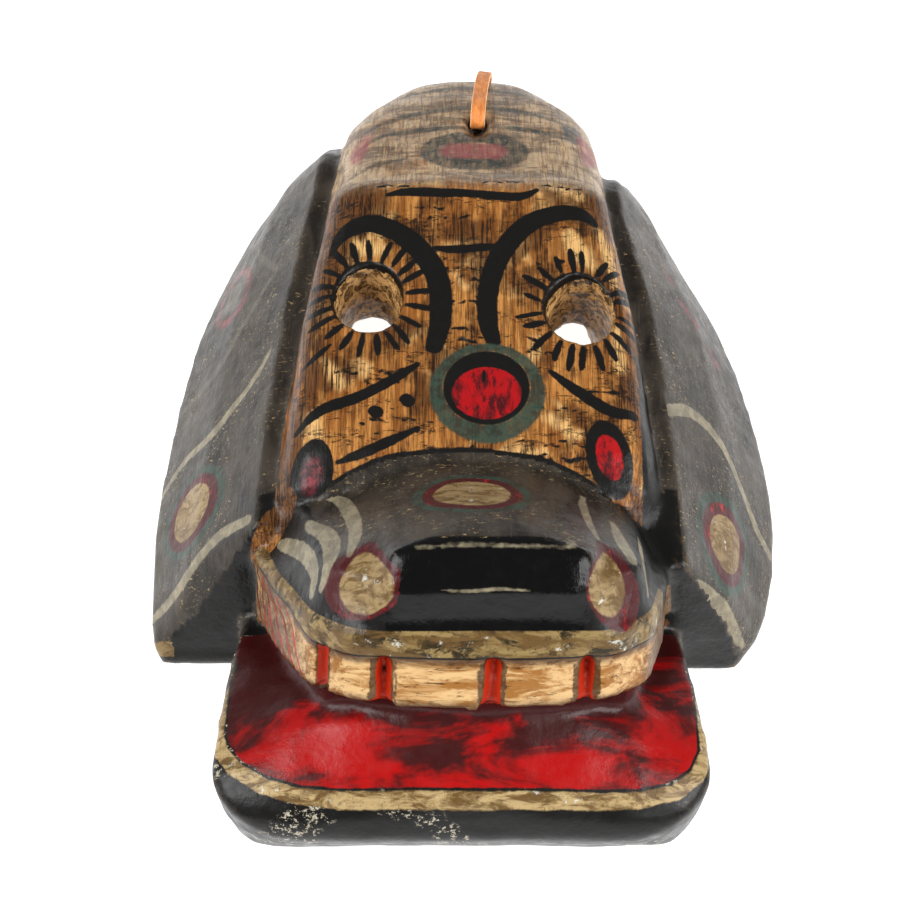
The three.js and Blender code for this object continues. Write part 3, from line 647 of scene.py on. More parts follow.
    def shade(self) -> np.ndarray:
        """How dark each place is made, from 0 to 1: painted shade in the recess under the teeth and at the
        jaw's left back, and a darker, duller tone on the ears and on the snout above the lip.

        Returns:
            A share at each vertex.
        """
        c = self.charts
        # Painted shade: darker towards the recess under the teeth and at the jaw's left back.
        near_teeth = np.clip(1 - (-0.5 - c.w) / 12, 0, 1)
        left_back = np.clip((c.y + 86) / 14, 0, 1) * np.clip((-c.x - 46) / 10, 0, 1)
        # The ears and the snout above the lip are only made darker and duller here.
        dulled = np.where((c.w > LIP_TOP_W - 5) & self.carved, 0.7, np.where(np.abs(c.x) > 66, 1.0, 0.0))
        return np.where(self.jaw() < 1, np.maximum(near_teeth, left_back), dulled)

    def _jaw_side_edge(self) -> np.ndarray:
        """Height of the jaw's side edge, under which its wall is plain black."""
        return np.interp(self.charts.y, (-115, -110, -98, -58, -20), (40.5, 45.5, 47, 37.6, 20))

    def red(self) -> np.ndarray:
        """Red rings, discs, the jaw's inside and the lines on the side teeth.

        Returns:
            Signed distance in mm, negative on the paint.
        """
        c = self.charts
        discs = self._all(self.bridge_disc.disc(c.face), self.right_cheek_oval.disc(c.face, 0.58))
        discs = np.maximum(discs, -self.disc_streak.distance(c.face))
        top = self._only((c.w > MUZZLE_TOP_W) & self.carved, self.muzzle_oval.disc(c.snout_top, 0.86))
        facet = (c.v > -17) & (c.w > LIP_TOP_W - 3) & (np.abs(c.u) > 25.5) & self.carved
        facets = [self._only(facet, oval.disc(c.snout_front)) for oval in self.facet_rings]
        left = self._only((c.x < -EAR_X) & self.carved, self.left_ear_oval.disc(c.ear))
        right = self._only((c.x > EAR_X) & self.carved, self.right_ear_oval.disc(c.ear))
        within = self._polygon(self.jaw_band) + 3.1
        jaw = np.maximum.reduce([self.jaw(), within, self._jaw_side_edge() - c.z])
        side = (c.u < -44) & (c.w > -1) & (c.w < 20) & (c.v < -16) & (c.v > -66) & (c.outside_snout < 1.5)
        lean = c.v + 0.75 * (c.w - 8)
        lines = [np.abs(lean - at) - half for at, half in self.side_tooth_lines]
        lines = self._only(side, self._all(*lines))
        return self._all(self._only(self.on_face, discs), top, *facets, left, right, jaw, lines)

    def green(self) -> np.ndarray:
        """Grey green outer rings.

        Returns:
            Signed distance in mm, negative on the paint.
        """
        c = self.charts
        on_face = self.on_face & (c.z > 60)
        bridge = np.maximum(self.bridge_green.disc(c.face), -self.bridge_black.disc(c.face))
        top = self._only((c.w > MUZZLE_TOP_W) & self.carved, self.muzzle_oval.ring(c.snout_top, 0.86, 1.04))
        left = self._only(c.x < -EAR_X, self.left_ear_oval.ring(c.ear, 1.0, 1.2))
        right = self._only(c.x > EAR_X, self.right_ear_oval.ring(c.ear, 1.0, 1.24))
        return self._all(self._only(on_face, bridge), top, left, right)

    def cream(self) -> np.ndarray:
        """Cream oval centres and the jaw's band.

        Returns:
            Signed distance in mm, negative on the paint.
        """
        c = self.charts
        top = self._only((c.w > MUZZLE_TOP_W) & self.carved, self.muzzle_oval.disc(c.snout_top, 0.66))
        facet = (c.v > -17) & (c.w > LIP_TOP_W) & (np.abs(c.u) > 26.5) & self.carved
        facets = [self._only(facet, oval.disc(c.snout_front)) for oval in self.facet_centres]
        left = self._only((c.x < -66) & self.carved, self.left_ear_oval.disc(c.ear, 0.74))
        right = self._only((c.x > 64) & self.carved, self.right_ear_oval.disc(c.ear, 0.7))
        corner = self._only(c.x < -98, Stroke(((-37, 8, 2.5), (-38, 14, 2))).distance(c.ear))
        edge = self._polygon(self.jaw_band)
        band = np.maximum(self.jaw(), np.maximum(edge - 2.2, -2.2 - edge))
        band = np.maximum(band, self._jaw_side_edge() - 0.5 - c.z)
        return self._all(top, *facets, left, right, corner, band)

    def stripe(self) -> np.ndarray:
        """Thin grey cream stripes of the ears and the whiskers.

        Returns:
            Signed distance in mm, negative on the paint.
        """
        c = self.charts
        left = self._only((c.x < -66) & (c.normal[:, 0] < -0.4), self._strokes(self.left_ear_lines, c.ear))
        right = self._only((c.x > 64) & (c.normal[:, 0] > 0.4), self._strokes(self.right_ear_lines, c.ear))
        chips = self._only((c.v > -9) & self.carved, self._strokes(self.nose_chips, c.snout_front) + 0.1)
        return self._all(self._only(self.carved, self._strokes(self.whiskers, c.snout)), left, right, chips)

    def faint(self) -> np.ndarray:
        """The worn stripes and the worn centre high on the left ear.

        Returns:
            Signed distance in mm, negative on the paint.
        """
        c = self.charts
        centre = self.left_ear_faint.disc(c.ear, 0.4)
        lines = self._all(self._strokes(self.left_ear_faint_lines, c.ear), centre)
        return self._only((c.x < -EAR_X) & (c.normal[:, 0] < -0.4), lines)

    def nose(self) -> np.ndarray:
        """Glossy nose block on the snout's front."""
        c = self.charts
        return np.maximum.reduce([np.abs(c.u) - 29, LIP_TOP_W - c.w, -7 - c.v, c.w - 60])

    def crown(self) -> np.ndarray:
        """How far up the crown each place is, from 0 on the face to 1."""
        return np.clip((self.charts.y - 100) / 9, 0, 1)

    def side(self) -> np.ndarray:
        """How far round the head's side each place is, from 0 in the middle to 1."""
        return np.clip((np.abs(self.charts.x) - smooth_line(FLAT_LINE, self.charts.y) + 2) / 9, 0, 1)

    def bare(self) -> np.ndarray:
        """Unpainted wood: the hollow, the eye bores and the back.

        Returns:
            Less than 0 on bare wood.
        """
        c = self.charts
        hollow = (np.abs(c.x) < self.hollow_half) & (c.z < self.hollow_top) & (c.outside_head < -3)
        hollow &= (c.y > self.hollow_ends[0]) & (c.y < self.hollow_ends[1]) & (c.normal[:, 2] < 0.35)
        bores = np.zeros(len(c.x), bool)
        for eye in EYES:
            inside = Oval(eye, (EYE_HALF[0], 0), (0, EYE_HALF[1])).level(c.face) < 1.04
            bores |= inside & (c.z > self.bore_ends[0]) & (c.z < self.bore_ends[1])
        back = (c.z < 0.6) & (c.normal[:, 2] < -0.5)
        return np.where(hollow | bores | back, -1.0, 1.0)

    def layers(self) -> dict[str, np.ndarray]:
        """Every layer by the name of its mesh attribute.

        Returns:
            Values at each vertex by name.
        """
        names = (
            "black", "rubbed", "slate", "stain", "smear", "lip", "teeth", "gaps", "jaw", "shade",
            "red", "green", "cream", "stripe", "faint", "nose", "crown", "side", "bare",
        )
        return {name: getattr(self, name)() for name in names}


def srgb(red: int, green: int, blue: int) -> tuple[float, float, float, float]:
    """Linear colour of a screen colour.

    Args:
        red: Red from 0 to 255.
        green: Green from 0 to 255.
        blue: Blue from 0 to 255.

    Returns:
        Red, green, blue and alpha.
    """
    parts = [c / 255 for c in (red, green, blue)]
    linear = [p / 12.92 if p <= 0.04045 else ((p + 0.055) / 1.055) ** 2.4 for p in parts]
    return (*linear, 1.0)


class Graph:
    """Short hand for one material's node tree."""

    def __init__(self, name: str) -> None:
        """Start a material with a Principled shader.

        Args:
            name: Name of the material.
        """
        self.material = bpy.data.materials.new(name)
        self.material.use_nodes = True
        self.tree = self.material.node_tree
        self.shader = self.tree.nodes["Principled BSDF"]
        self.coords = self.tree.nodes.new("ShaderNodeTexCoord").outputs["Object"]

    def node(self, kind: str, **settings: object) -> bpy.types.Node:
        """Add a node and set its plain properties.

        Args:
            kind: Type of the node.
            settings: Plain properties by name.

        Returns:
            The new node.
        """
        made = self.tree.nodes.new(kind)
        for key, value in settings.items():
            setattr(made, key, value)
        return made

    def feed(self, socket: bpy.types.NodeSocket, value: object) -> None:
        """Link an output to a socket, or set its value.

        Args:
            socket: Socket that takes the value.
            value: Value or output.
        """
        if isinstance(value, bpy.types.NodeSocket):
            self.tree.links.new(value, socket)
        else:
            socket.default_value = value

    def attribute(self, name: str) -> bpy.types.NodeSocket:
        """A float attribute of the mesh."""
        return self.node("ShaderNodeAttribute", attribute_name=name).outputs["Fac"]

    def math(self, operation: str, first: object, second: object = 0.0) -> bpy.types.NodeSocket:
        """One Math node.

        Args:
            operation: The node's operation.
            first: First value or output.
            second: Second value or output.

        Returns:
            The result.
        """
        made = self.node("ShaderNodeMath", operation=operation)
        self.feed(made.inputs[0], first)
        self.feed(made.inputs[1], second)
        return made.outputs[0]

    def times(self, first: object, second: object) -> bpy.types.NodeSocket:
        """Product of two values."""
        return self.math("MULTIPLY", first, second)

    def plus(self, first: object, second: object) -> bpy.types.NodeSocket:
        """Sum of two values."""
        return self.math("ADD", first, second)

    def noise(
        self, per_mm: tuple[float, float, float], detail: float = 3.0, rough: float = 0.55,
        twist: float = 0.0,
    ) -> bpy.types.NodeSocket:
        """Noise whose three scales are given per millimetre.

        Args:
            per_mm: Scales along x, y and z.
            detail: Octaves.
            rough: Share of the finer octaves.
            twist: Distortion.

        Returns:
            Noise between 0 and 1.
        """
        mapping = self.node("ShaderNodeMapping")
        mapping.inputs["Scale"].default_value = [s / MM for s in per_mm]
        self.feed(mapping.inputs["Vector"], self.coords)
        made = self.node("ShaderNodeTexNoise")
        made.inputs["Scale"].default_value = 1.0
        made.inputs["Detail"].default_value = detail
        made.inputs["Roughness"].default_value = rough
        made.inputs["Distortion"].default_value = twist
        self.feed(made.inputs["Vector"], mapping.outputs[0])
        return made.outputs["Fac"]

    def span(
        self, value: object, low: float, high: float, to_low: float = 0.0, to_high: float = 1.0,
    ) -> bpy.types.NodeSocket:
        """Smooth step of a value from one range to another.

        Args:
            value: Value or output.
            low: Start of the range.
            high: End of the range.
            to_low: Result at the start.
            to_high: Result at the end.

        Returns:
            The stepped value.
        """
        made = self.node("ShaderNodeMapRange", interpolation_type="SMOOTHSTEP")
        self.feed(made.inputs["Value"], value)
        for key, number in (("From Min", low), ("From Max", high), ("To Min", to_low), ("To Max", to_high)):
            made.inputs[key].default_value = number
        return made.outputs["Result"]

    def mix(self, share: object, first: object, second: object) -> bpy.types.NodeSocket:
        """Mix of two colours.

        Args:
            share: Share of the second colour.
            first: First colour.
            second: Second colour.

        Returns:
            The mixed colour.
        """
        made = self.node("ShaderNodeMix", data_type="RGBA")
        colours = {socket.name: socket for socket in made.inputs if socket.type == "RGBA"}
        self.feed(made.inputs["Factor"], share)
        self.feed(colours["A"], first)
        self.feed(colours["B"], second)
        return next(socket for socket in made.outputs if socket.type == "RGBA")

    def bump(self, height: object, distance: float, strength: float = 1.0) -> None:
        """Fine relief on the shader's normal.

        Args:
            height: Height output.
            distance: Depth of the relief in metres.
            strength: Strength from 0 to 1.
        """
        made = self.node("ShaderNodeBump")
        made.inputs["Strength"].default_value = strength
        made.inputs["Distance"].default_value = distance
        self.feed(made.inputs["Height"], height)
        self.feed(self.shader.inputs["Normal"], made.outputs["Normal"])


@dataclass(frozen=True)
class PaintedWood:
    """Hand painted wood with grain, worn edges and specks, and some painted shade and sheen, from the
    mesh's paint layers.
    """

    pale: tuple = srgb(224, 178, 114)
    ochre: tuple = srgb(186, 128, 66)
    amber: tuple = srgb(136, 82, 34)
    brown: tuple = srgb(82, 48, 21)
    umber: tuple = srgb(32, 20, 12)
    # Pale grey of the crown: worn wood and painted sheen.
    crown_pale_and_sheen: tuple = srgb(190, 164, 130)
    crown_dark: tuple = srgb(58, 46, 38)
    black: tuple = srgb(17, 16, 15)
    # Lighter slate of the ears' outer faces and the muzzle's top: slate paint and painted sheen.
    slate: tuple = srgb(66, 59, 51)
    scratch: tuple = srgb(112, 104, 94)
    nose_black: tuple = srgb(5, 5, 5)
    red: tuple = srgb(160, 16, 20)
    crimson: tuple = srgb(66, 16, 19)
    pink: tuple = srgb(146, 58, 66)
    jaw_red: tuple = srgb(158, 8, 7)
    # Dark red of the jaw's mottling and of its painted shade under the teeth.
    jaw_dark: tuple = srgb(38, 13, 12)
    gap_red: tuple = srgb(168, 40, 16)
    green: tuple = srgb(48, 66, 56)
    stain_green: tuple = srgb(40, 44, 38)
    cream: tuple = srgb(172, 148, 104)
    cream_brown: tuple = srgb(96, 72, 38)
    chalk: tuple = srgb(206, 208, 198)
    stripe_grey: tuple = srgb(146, 136, 112)
    faint_grey: tuple = srgb(98, 92, 82)
    lip: tuple = srgb(138, 116, 74)
    lip_dark: tuple = srgb(42, 34, 19)
    tooth: tuple = srgb(204, 168, 118)
    tooth_gold: tuple = srgb(146, 98, 46)
    tooth_dark: tuple = srgb(58, 33, 14)
    bare: tuple = srgb(198, 154, 98)
    bare_dark: tuple = srgb(74, 50, 25)
    specular: float = 0.22
    relief: float = 0.5 * MM
    relief_strength: float = 0.5

    def _face_wood(self, g: Graph) -> bpy.types.NodeSocket:
        """Ochre wash over wood, with dark streaks along the grain, a brown wash and dark flecks.

        Args:
            g: The material's node tree.

        Returns:
            The colour.
        """
        tone = g.span(g.noise((0.42, 0.03, 0.2), 4, 0.62, 0.4), 0.36, 0.62)
        base = g.mix(tone, self.ochre, self.amber)
        base = g.mix(g.span(g.noise((0.06, 0.04, 0.06), 3, 0.6), 0.54, 0.66, 0.0, 0.85), base, self.pale)
        edge = g.math("MAXIMUM", g.attribute("side"), g.attribute("crown"))
        cloud = g.plus(g.noise((0.05, 0.035, 0.06), 4, 0.68), g.times(edge, 0.09))
        wash = g.span(cloud, 0.44, 0.60)
        base = g.mix(g.times(wash, 0.85), base, self.brown)
        rubbed = g.plus(g.attribute("rubbed"), g.times(g.noise((0.3, 0.06, 0.2), 4, 0.7), 7.0))
        base = g.mix(g.span(rubbed, 1.0, 4.5, 0.9, 0.0), base, self.pale)
        fine = g.span(g.noise((1.5, 0.05, 0.5), 4, 0.74, 0.4), 0.485, 0.56)
        strength = g.plus(g.times(wash, 0.45), 0.5)
        base = g.mix(g.times(fine, strength), base, self.umber)
        fleck = g.span(g.noise((0.34, 0.95, 0.5), 4, 0.78, 0.7), 0.495, 0.545)
        rows = g.span(g.noise((0.05, 0.16, 0.1), 4, 0.7, 0.5), 0.50, 0.60)
        base = g.mix(g.times(g.times(fleck, rows), 0.9), base, self.umber)
        return self._crown_wood(g, base)

    def _crown_wood(self, g: Graph, face: object) -> bpy.types.NodeSocket:
        """Greyish brown crown, its grey partly painted sheen, with bands across it and pale scratches along
        it.

        Args:
            g: The material's node tree.
            face: The face's colour.

        Returns:
            The colour.
        """
        bands = g.span(g.noise((0.04, 0.13, 0.11), 4, 0.76, 0.6), 0.45, 0.58)
        # The crown's pale grey is partly painted sheen on its tilted surface.
        worn = g.mix(g.times(bands, 0.68), self.crown_pale_and_sheen, self.crown_dark)
        streaks = g.span(g.noise((0.9, 0.07, 0.07), 4, 0.75, 0.4), 0.49, 0.58)
        worn = g.mix(g.times(streaks, 0.6), worn, self.brown)
        scratches = g.span(g.noise((1.3, 0.05, 0.05), 4, 0.72, 0.3), 0.55, 0.62)
        worn = g.mix(g.times(scratches, 0.4), worn, self.pale)
        patchy = g.span(g.noise((0.09, 0.07, 0.09), 4, 0.7), 0.3, 0.6, 0.45, 0.95)
        colour = g.mix(g.times(g.attribute("crown"), patchy), face, worn)
        broken = g.span(g.noise((0.5, 0.09, 0.3), 4, 0.7, 0.4), 0.34, 0.62, 1.0, 0.55)
        stain = g.times(self._edge(g, "stain", 0.8, 1.8), broken)
        colour = g.mix(stain, colour, self.stain_green)
        return g.mix(g.times(self._edge(g, "smear", 1.4, 2.4), g.times(broken, 0.8)), colour, self.pink)

    def _black_paint(self, g: Graph) -> bpy.types.NodeSocket:
        """Black paint, lighter slate on the outer faces as slate paint and painted sheen, with scratches,
        cream specks and worn edges.

        Args:
            g: The material's node tree.

        Returns:
            The colour.
        """
        # Ears' outer faces and the muzzle's top get a lighter slate: slate paint and painted sheen.
        slate = g.span(g.attribute("slate"), -0.8, 0.8, 1.0, 0.0)
        cloud = g.span(g.noise((0.08, 0.04, 0.06), 4, 0.68, 0.5), 0.34, 0.66, 0.25, 1.0)
        dark = g.mix(g.times(slate, cloud), self.black, self.slate)
        dark = g.mix(g.span(g.attribute("nose"), -0.5, 0.5, 1.0, 0.0), dark, self.nose_black)
        fine = g.span(g.noise((0.9, 0.07, 0.2), 4, 0.75, 0.5), 0.60, 0.68)
        dark = g.mix(g.times(g.times(fine, slate), 0.3), dark, self.scratch)
        thin = g.span(g.noise((0.3, 0.3, 0.3), 4, 0.7), 0.36, 0.62, 0.75, 0.1)
        dark = g.mix(g.times(self._edge(g, "smear", 1.6, 2.4), thin), dark, self.pink)
        dark = g.mix(g.times(self._edge(g, "faint", 0.8, 1.4), 0.55), dark, self.faint_grey)
        cluster = g.times(g.span(g.noise((0.05, 0.05, 0.05), 3, 0.6), 0.42, 0.60), slate)
        speck = g.times(g.span(g.noise((0.42, 1.0, 0.8), 4, 0.75, 0.3), 0.60, 0.63), cluster)
        dark = g.mix(g.times(speck, 0.8), dark, self.cream)
        on_jaw = g.span(g.attribute("jaw"), -0.3, 0.3, 1.0, 0.0)
        patch = g.times(g.span(g.noise((0.045, 0.045, 0.045), 2, 0.5), 0.52, 0.58), on_jaw)
        chip = g.times(g.span(g.noise((0.5, 0.55, 0.55), 4, 0.78), 0.56, 0.60), patch)
        dark = g.mix(g.times(chip, 0.8), dark, g.mix(0.5, self.cream, self.chalk))
        worn = g.times(g.attribute("wear"), g.span(g.noise((0.4, 0.4, 0.4), 4, 0.7), 0.50, 0.60))
        return g.mix(g.times(worn, 0.8), dark, self.cream_brown)

    def _cream_paint(self, g: Graph, light: object, streaks: bpy.types.NodeSocket) -> bpy.types.NodeSocket:
        """Aged cream with brown streaks and chalky spots.

        Args:
            g: The material's node tree.
            light: Fresh colour of the paint.
            streaks: Noise that places the streaks.

        Returns:
            The colour.
        """
        tone = g.mix(g.span(streaks, 0.40, 0.62), light, self.cream_brown)
        chalky = g.span(g.noise((0.16, 0.16, 0.16), 4, 0.7), 0.62, 0.70, 0.0, 0.7)
        tone = g.mix(chalky, tone, self.chalk)
        lines = g.span(g.noise((1.2, 0.25, 0.5), 4, 0.75, 0.6), 0.60, 0.66, 0.0, 0.6)
        return g.mix(lines, tone, self.umber)

    def _edge(self, g: Graph, name: str, soft: float = 0.22, wobble: float = 0.9) -> bpy.types.NodeSocket:
        """How far a paint layer covers, with a hand painted edge.

        Args:
            g: The material's node tree.
            name: The layer's attribute.
            soft: Half width of the edge in mm.
            wobble: How far the edge wanders in mm.

        Returns:
            Cover from 0 to 1.
        """
        shaky = g.times(g.math("SUBTRACT", g.noise((0.35, 0.35, 0.35), 3, 0.6), 0.5), wobble)
        value = g.plus(g.attribute(name), shaky)
        return g.span(value, -soft, soft, 1.0, 0.0)

    def build(self) -> bpy.types.Material:
        """Build the material.

        Returns:
            The finished material.
        """
        g = Graph("painted_wood")
        dark = self._black_paint(g)
        colour = g.mix(self._edge(g, "black"), self._face_wood(g), dark)
        mottle = g.span(g.noise((0.11, 0.16, 0.16), 4, 0.74, 0.5), 0.43, 0.57)
        lip = g.mix(mottle, self.lip, self.lip_dark)
        lip = self._cream_paint(g, lip, g.noise((0.05, 0.22, 0.22), 4, 0.72, 0.5))
        colour = g.mix(self._edge(g, "lip", 0.2, 0.5), colour, lip)
        blots = g.span(g.noise((0.05, 0.22, 0.22), 4, 0.7, 0.7), 0.42, 0.60)
        lines = g.span(g.noise((0.16, 0.9, 0.9), 4, 0.75, 0.5), 0.56, 0.66, 0.0, 0.8)
        gold = g.mix(lines, g.mix(blots, self.tooth, self.tooth_gold), self.tooth_dark)
        # Teeth go dark brown near their edges and beside the gaps: stain, and painted shade under the lip
        # and into the gaps.
        edge_stain_and_shade = g.plus(g.attribute("teeth"), g.times(g.noise((0.2, 0.5, 0.5), 4, 0.7), 4.0))
        gold = g.mix(g.span(edge_stain_and_shade, -1.8, 1.6, 0.0, 0.85), gold, self.tooth_dark)
        gap_stain_and_shade = g.plus(g.attribute("gaps"), g.times(g.noise((0.3, 0.2, 0.2), 4, 0.72), 14.0))
        gold = g.mix(g.span(gap_stain_and_shade, 4.2, 7.4, 0.0, 0.85), gold, self.tooth_dark)
        colour = g.mix(self._edge(g, "teeth", 0.2, 0.3), colour, gold)
        jaw = g.span(g.attribute("jaw"), -0.3, 0.3, 1.0, 0.0)
        # The jaw's red goes dark by noise, and by painted shade under the teeth and at its left back
        # through the shade layer.
        cloud = g.plus(g.noise((0.028, 0.06, 0.06), 4, 0.66, 0.7), g.times(g.attribute("shade"), 0.24))
        jaw_paint = g.mix(g.span(cloud, 0.39, 0.58, 0.0, 0.94), self.jaw_red, self.jaw_dark)
        dull = g.plus(g.noise((0.3, 0.12, 0.2), 4, 0.7, 0.4), g.times(g.attribute("shade"), 0.24))
        ring_paint = g.mix(g.span(dull, 0.42, 0.62), self.red, self.crimson)
        colour = g.mix(jaw, colour, dark)
        colour = g.mix(self._edge(g, "red"), colour, g.mix(jaw, ring_paint, jaw_paint))
        dusk = g.span(g.noise((0.22, 0.22, 0.22), 4, 0.75), 0.46, 0.58, 0.0, 0.8)
        dusk = g.mix(dusk, self.green, self.stain_green)
        colour = g.mix(g.times(self._edge(g, "green", 0.5, 1.6), 0.92), colour, dusk)
        # Cream goes brown with the shade layer: painted shade at the jaw band's left back, and a darker
        # tone on the ears' and the facets' centres.
        darkened_cream = g.mix(g.times(g.attribute("shade"), 0.6), self.cream, self.cream_brown)
        cream = self._cream_paint(g, darkened_cream, g.noise((0.10, 0.3, 0.2), 4, 0.72, 0.6))
        colour = g.mix(self._edge(g, "cream", 0.3, 1.1), colour, cream)
        thin = g.span(g.noise((0.3, 0.2, 0.2), 4, 0.7), 0.35, 0.6, 0.9, 0.5)
        stripes = g.times(self._edge(g, "stripe", 0.35, 1.2), thin)
        colour = g.mix(stripes, colour, self.stripe_grey)
        gap = g.attribute("gaps")
        colour = g.mix(g.span(gap, 1.2, 1.9), colour, self.gap_red)
        # Painted shade: the gaps turn black at their deepest, below their red walls.
        colour = g.mix(g.span(gap, 4.4, 5.4), colour, self.nose_black)
        grain = g.span(g.noise((0.35, 0.2, 0.35), 5, 0.78, 0.6), 0.42, 0.58)
        bare = g.mix(grain, self.bare, self.bare_dark)
        colour = g.mix(g.span(g.attribute("bare"), -0.4, 0.4, 1.0, 0.0), colour, bare)
        g.feed(g.shader.inputs["Base Color"], colour)
        gloss = g.span(g.noise((0.2, 0.2, 0.2), 4, 0.65), 0.3, 0.7, 0.26, 0.42)
        gloss = g.math("SUBTRACT", gloss, g.span(g.attribute("nose"), -0.5, 0.5, 0.16, 0.0))
        g.feed(g.shader.inputs["Roughness"], gloss)
        g.shader.inputs["Specular IOR Level"].default_value = self.specular
        brush = g.times(g.noise((0.8, 0.08, 0.4), 4, 0.65), g.times(g.math("SUBTRACT", 1.0, jaw), 0.6))
        height = g.plus(brush, g.times(g.noise((0.35, 0.35, 0.35), 4, 0.6), 0.8))
        g.bump(height, self.relief, self.relief_strength)
        return g.material


@dataclass(frozen=True)
class StrapLeather:
    """Tan leather with paler cut edges."""

    tan: tuple = srgb(240, 156, 82)
    brown: tuple = srgb(206, 118, 54)
    pale: tuple = srgb(248, 206, 158)
    rough: float = 0.6
    relief: float = 0.3 * MM
    relief_strength: float = 0.7

    def build(self) -> bpy.types.Material:
        """Build the material.

        Returns:
            The finished material.
        """
        g = Graph("strap_leather")
        base = g.mix(g.span(g.noise((0.5, 0.12, 0.3), 4, 0.65), 0.35, 0.65), self.tan, self.brown)
        edge = g.span(g.attribute("cut_edge"), 0.3, 0.8)
        g.feed(g.shader.inputs["Base Color"], g.mix(edge, base, self.pale))
        g.shader.inputs["Roughness"].default_value = self.rough
        g.bump(g.noise((1.2, 1.2, 1.2), 4, 0.7), self.relief, self.relief_strength)
        return g.material


@dataclass
class CarvedMask:
    """The carved block: head, ears, snout, teeth and jaw in one piece of wood. Sizes in mm."""

    NODE: ClassVar[str] = "carved_mask"

    voxel: float = 1.82
    smooth_passes: int = 2
    back_share: float = 0.18
    wave_depth: float = 0.32
    wave_length: float = 19.0
    knife_depth: float = 0.12
    knife_length: float = 6.0
    gouge_depth: float = 0.9
    gouge_cell: tuple[float, float, float] = (9.0, 14.0, 12.0)
    bore_depth: float = 0.7
    bore_length: float = 2.6
    jaw_depth: float = 0.28
    jaw_cell: tuple[float, float, float] = (16.0, 5.0, 6.0)
    chip_depth: float = 1.3
    chip_length: float = 3.2
    chip_start: float = 0.18
    chip_bend: float = 0.10
    wear_bend: tuple[float, float] = (0.06, 0.18)

    def __post_init__(self) -> None:
        """Take the solid that the piece stands for."""
        self.source = bpy.data.objects[self.NODE]

    def _evaluated(self, piece: bpy.types.Object) -> bpy.types.Mesh:
        """Plain mesh of a piece with its modifiers."""
        graph = bpy.context.evaluated_depsgraph_get()
        return bpy.data.meshes.new_from_object(piece.evaluated_get(graph))

    def _skin(self) -> bpy.types.Object:
        """Even skin over the solid, coarser on the hidden back.

        Returns:
            The piece with its even skin.
        """
        mesh = self.source.data.copy()
        merged = bmesh.new()
        merged.from_mesh(mesh)
        bmesh.ops.remove_doubles(merged, verts=merged.verts, dist=1e-6)
        merged.to_mesh(mesh)
        merged.free()
        piece = bpy.data.objects.new("painted_dog_mask", mesh)
        bpy.context.scene.collection.objects.link(piece)
        remesh = piece.modifiers.new("skin", "REMESH")
        remesh.mode = "VOXEL"
        remesh.voxel_size = self.voxel * MM
        piece.data = self._evaluated(piece)
        piece.modifiers.clear()
        charts = self._charts(piece.data)
        hidden = (MaskPaint(charts).bare() < 0) & (charts.z < 46)
        group = piece.vertex_groups.new(name="hidden")
        group.add([int(i) for i in np.flatnonzero(hidden)], 1.0, "ADD")
        thin = piece.modifiers.new("thin", "DECIMATE")
        thin.vertex_group = "hidden"
        thin.ratio = 1 - (1 - self.back_share) * float(hidden.mean())
        piece.data = self._evaluated(piece)
        piece.modifiers.clear()
        piece.vertex_groups.clear()
        return piece

    def _charts(self, mesh: bpy.types.Mesh) -> Charts:
        """Charts of a mesh's vertices.

        Args:
            mesh: The mask's mesh.

        Returns:
            The charts.
        """
        count = len(mesh.vertices)
        places, normals = np.empty(count * 3), np.empty(count * 3)
        mesh.vertices.foreach_get("co", places)
        mesh.vertex_normals.foreach_get("vector", normals)
        return Charts(places.reshape(-1, 3), normals.reshape(-1, 3))

    def _refine(self, mesh: bpy.types.Mesh) -> None:
        """Finer faces where motifs are small: round the eyes, on the face and on the snout.

        Args:
            mesh: The mask's mesh.
        """
        c = self._charts(mesh)
        face = (np.abs(c.x) < 58) & (c.y > -40) & (c.y < 108) & (c.z > 66) & (c.outside_head < 3)
        snout = (c.outside_snout < 2) & (c.w > -0.5) & (c.v > -62) & (c.outside_head > 0.3)
        wanted = face | snout
        work = bmesh.new()
        work.from_mesh(mesh)
        work.verts.ensure_lookup_table()
        edges = [e for e in work.edges if wanted[e.verts[0].index] and wanted[e.verts[1].index]]
        bmesh.ops.subdivide_edges(work, edges=edges, cuts=1, use_grid_fill=True)
        work.to_mesh(mesh)
        work.free()

    def _relax(self, mesh: bpy.types.Mesh) -> None:
        """Take the small steps out of the skin.

        Args:
            mesh: The mask's mesh.
        """
        work = bmesh.new()
        work.from_mesh(mesh)
        for _ in range(self.smooth_passes):
            bmesh.ops.smooth_vert(
                work, verts=work.verts, factor=0.5, use_axis_x=True, use_axis_y=True, use_axis_z=True,
            )
        work.to_mesh(mesh)
        work.free()

    def _hollows_and_ridges(self, mesh: bpy.types.Mesh, charts: Charts) -> np.ndarray:
        """How convex the surface is at each vertex, from its neighbours.

        Args:
            mesh: The mask's mesh.
            charts: Charts of the mesh's vertices.

        Returns:
            Bend at each vertex, more than 0 on ridges.
        """
        count = len(mesh.vertices)
        ends = np.empty(len(mesh.edges) * 2, dtype=np.int64)
        mesh.edges.foreach_get("vertices", ends)
        a, b = ends.reshape(-1, 2).T
        bend = np.zeros(count)
        for first, second in ((a, b), (b, a)):
            step = charts.place[second] - charts.place[first]
            length = np.linalg.norm(step, axis=1) + 1e-9
            lean = (step * charts.normal[first]).sum(axis=1) / length
            np.add.at(bend, first, -lean)
        degree = np.bincount(np.concatenate((a, b)), minlength=count)
        bend /= np.maximum(degree, 1)
        for _ in range(2):
            total = np.zeros(count)
            np.add.at(total, a, bend[b])
            np.add.at(total, b, bend[a])
            bend = 0.5 * bend + 0.5 * total / np.maximum(degree, 1)
        return bend

